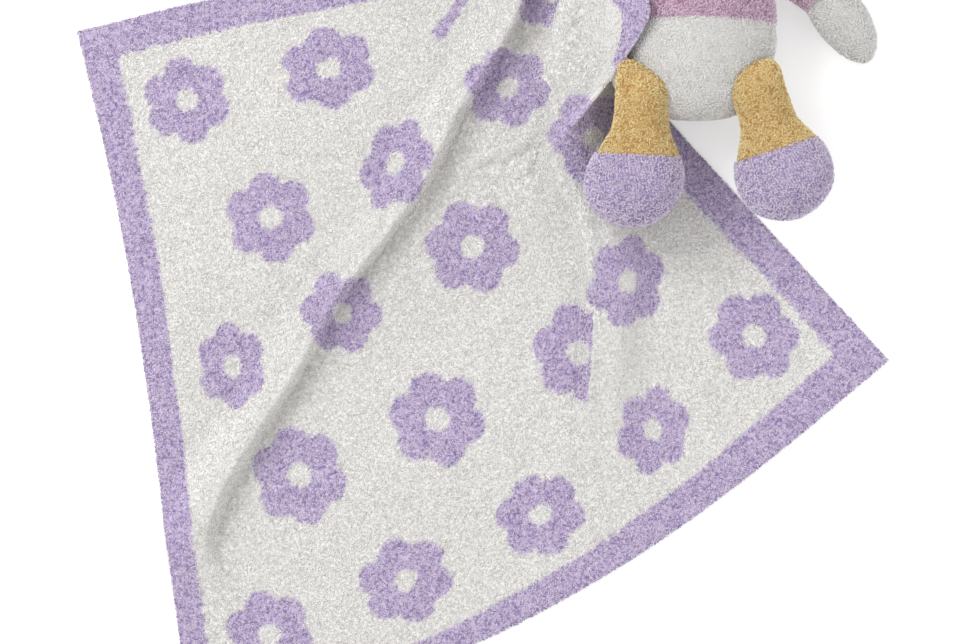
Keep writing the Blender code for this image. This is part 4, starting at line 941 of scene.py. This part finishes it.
# ears
earValues = {"length": 0.085, "halfWidth": 0.0165, "halfDepth": 0.0055, "spacing": 0.052, "splay": 10, "droop": 26, "sunk": 0.0135}
for seed, (name, side) in enumerate((("right", -1), ("left", 1))):
    splay, droop = math.radians(earValues["splay"]) * side, math.radians(earValues["droop"])
    heading = np.array((math.sin(splay) * math.cos(droop), math.cos(splay) * math.cos(droop), -math.sin(droop)))
    start = np.array((toyPlace["x"] + side * earValues["spacing"] / 2,
                      head["bottomY"] + head["length"] - earValues["sunk"], head["height"]))
    path = straightPath(start, heading)
    earSize = (earValues["length"], earValues["halfWidth"], earValues["halfDepth"], -0.15, 0.7)
    earRings = formRings(path, *bulbForm(0.8 * mm, earValues["length"] - 0.8 * mm, *earSize, 40, 0.8 * mm), None, 15 + seed)
    blend = ("head", tuple(start + heading * 0.006), tuple(start + heading * 0.024))
    dress(name + "Ear", earRings, "white", 12 + seed, [name + "_ear"], name + "_ear", blend)
    liningSize = (earValues["length"] * 0.7, earValues["halfWidth"] * 0.7, earValues["halfDepth"], -0.15, 0.7)
    along, wide, deep = bulbForm(0.5 * mm, earValues["length"] * 0.7 - 0.5 * mm, *liningSize, 30, 0.5 * mm)
    liningRings = formRings(path, along + earValues["length"] * 0.16, wide, deep, lambda a: np.full(len(a), 1.8 * mm), 17 + seed)
    topSide = lambda roots, start=start, heading=heading: roots[:, 2] > start[2] + ((roots - start) @ heading) * heading[2] + 3.5 * mm
    dress(name + "EarLining", liningRings, "pink", 14 + seed, [name + "_ear_lining"], name + "_ear", blend, keep=topSide)
print("bunny dressed")


# ---- stage, light and camera

def floorFinish():
    # plain white paper: seen straight on it is white, and it still takes the object's soft shadow
    material, tree, shader = newMaterial("whitePaper")
    setInputs(shader, {"Base Color": hexColour("#F4F4F4"), "Roughness": 0.9, "Specular IOR Level": 0.0,
                       "Emission Color": (1, 1, 1, 1)})
    rays = addNode(tree, "ShaderNodeLightPath")
    glow = addNode(tree, "ShaderNodeMath", {"operation": "MULTIPLY"}, {0: rays.outputs["Is Camera Ray"], 1: 0.35})
    tree.links.new(glow.outputs[0], shader.inputs["Emission Strength"])
    return material


floorMesh = bpy.data.meshes.new("studioFloor")
floorMesh.from_pydata([(-6, -6, 0), (6, -6, 0), (6, 6, 0), (-6, 6, 0)], [], [(0, 1, 2, 3)])
floorMesh.materials.append(floorFinish())
floor = bpy.data.objects.new("studioFloor", floorMesh)
floor.location = (0, 0, 0)
scene.collection.objects.link(floor)

world = bpy.data.worlds.new("studioWorld")
scene.world = world
world.use_nodes = True
worldTree = world.node_tree
background = worldTree.nodes["Background"]
rays = addNode(worldTree, "ShaderNodeLightPath")
brightness = addNode(worldTree, "ShaderNodeMix", {"data_type": "FLOAT"}, {0: rays.outputs["Is Camera Ray"], 2: 0.83, 3: 1.0})
background.inputs["Color"].default_value = (1, 1, 1, 1)
worldTree.links.new(brightness.outputs[0], background.inputs["Strength"])

lampValues = {"softbox": ((-1.6, 1.4, 2.2), 1.5, 40.0), "fill": ((1.8, -1.2, 2.0), 2.0, 8.0)}
for name, (place, size, power) in lampValues.items():
    lamp = bpy.data.lights.new(name, "AREA")
    lamp.shape = "DISK"
    lamp.size = size
    lamp.energy = power
    lampObject = bpy.data.objects.new(name, lamp)
    lampObject.location = place
    away = np.array(place) - np.array((0.02, 0.05, 0.0))
    lampObject.rotation_euler = (math.atan2(math.hypot(away[0], away[1]), away[2]), 0,
                                 math.atan2(away[0], -away[1]))
    scene.collection.objects.link(lampObject)

cameraValues = {"sensor": 36, "height": 4.0, "centre": (0.02278, 0.05304), "frameWidth": 0.65756}
camera = bpy.data.cameras.new("overheadCamera")
camera.sensor_width = cameraValues["sensor"]
camera.lens = cameraValues["sensor"] * cameraValues["height"] / cameraValues["frameWidth"]
camera.clip_end = 30
cameraObject = bpy.data.objects.new("overheadCamera", camera)
cameraObject.location = (*cameraValues["centre"], cameraValues["height"])
scene.collection.objects.link(cameraObject)
scene.camera = cameraObject
scene.view_settings.view_transform = "Standard"

print("scene ready")
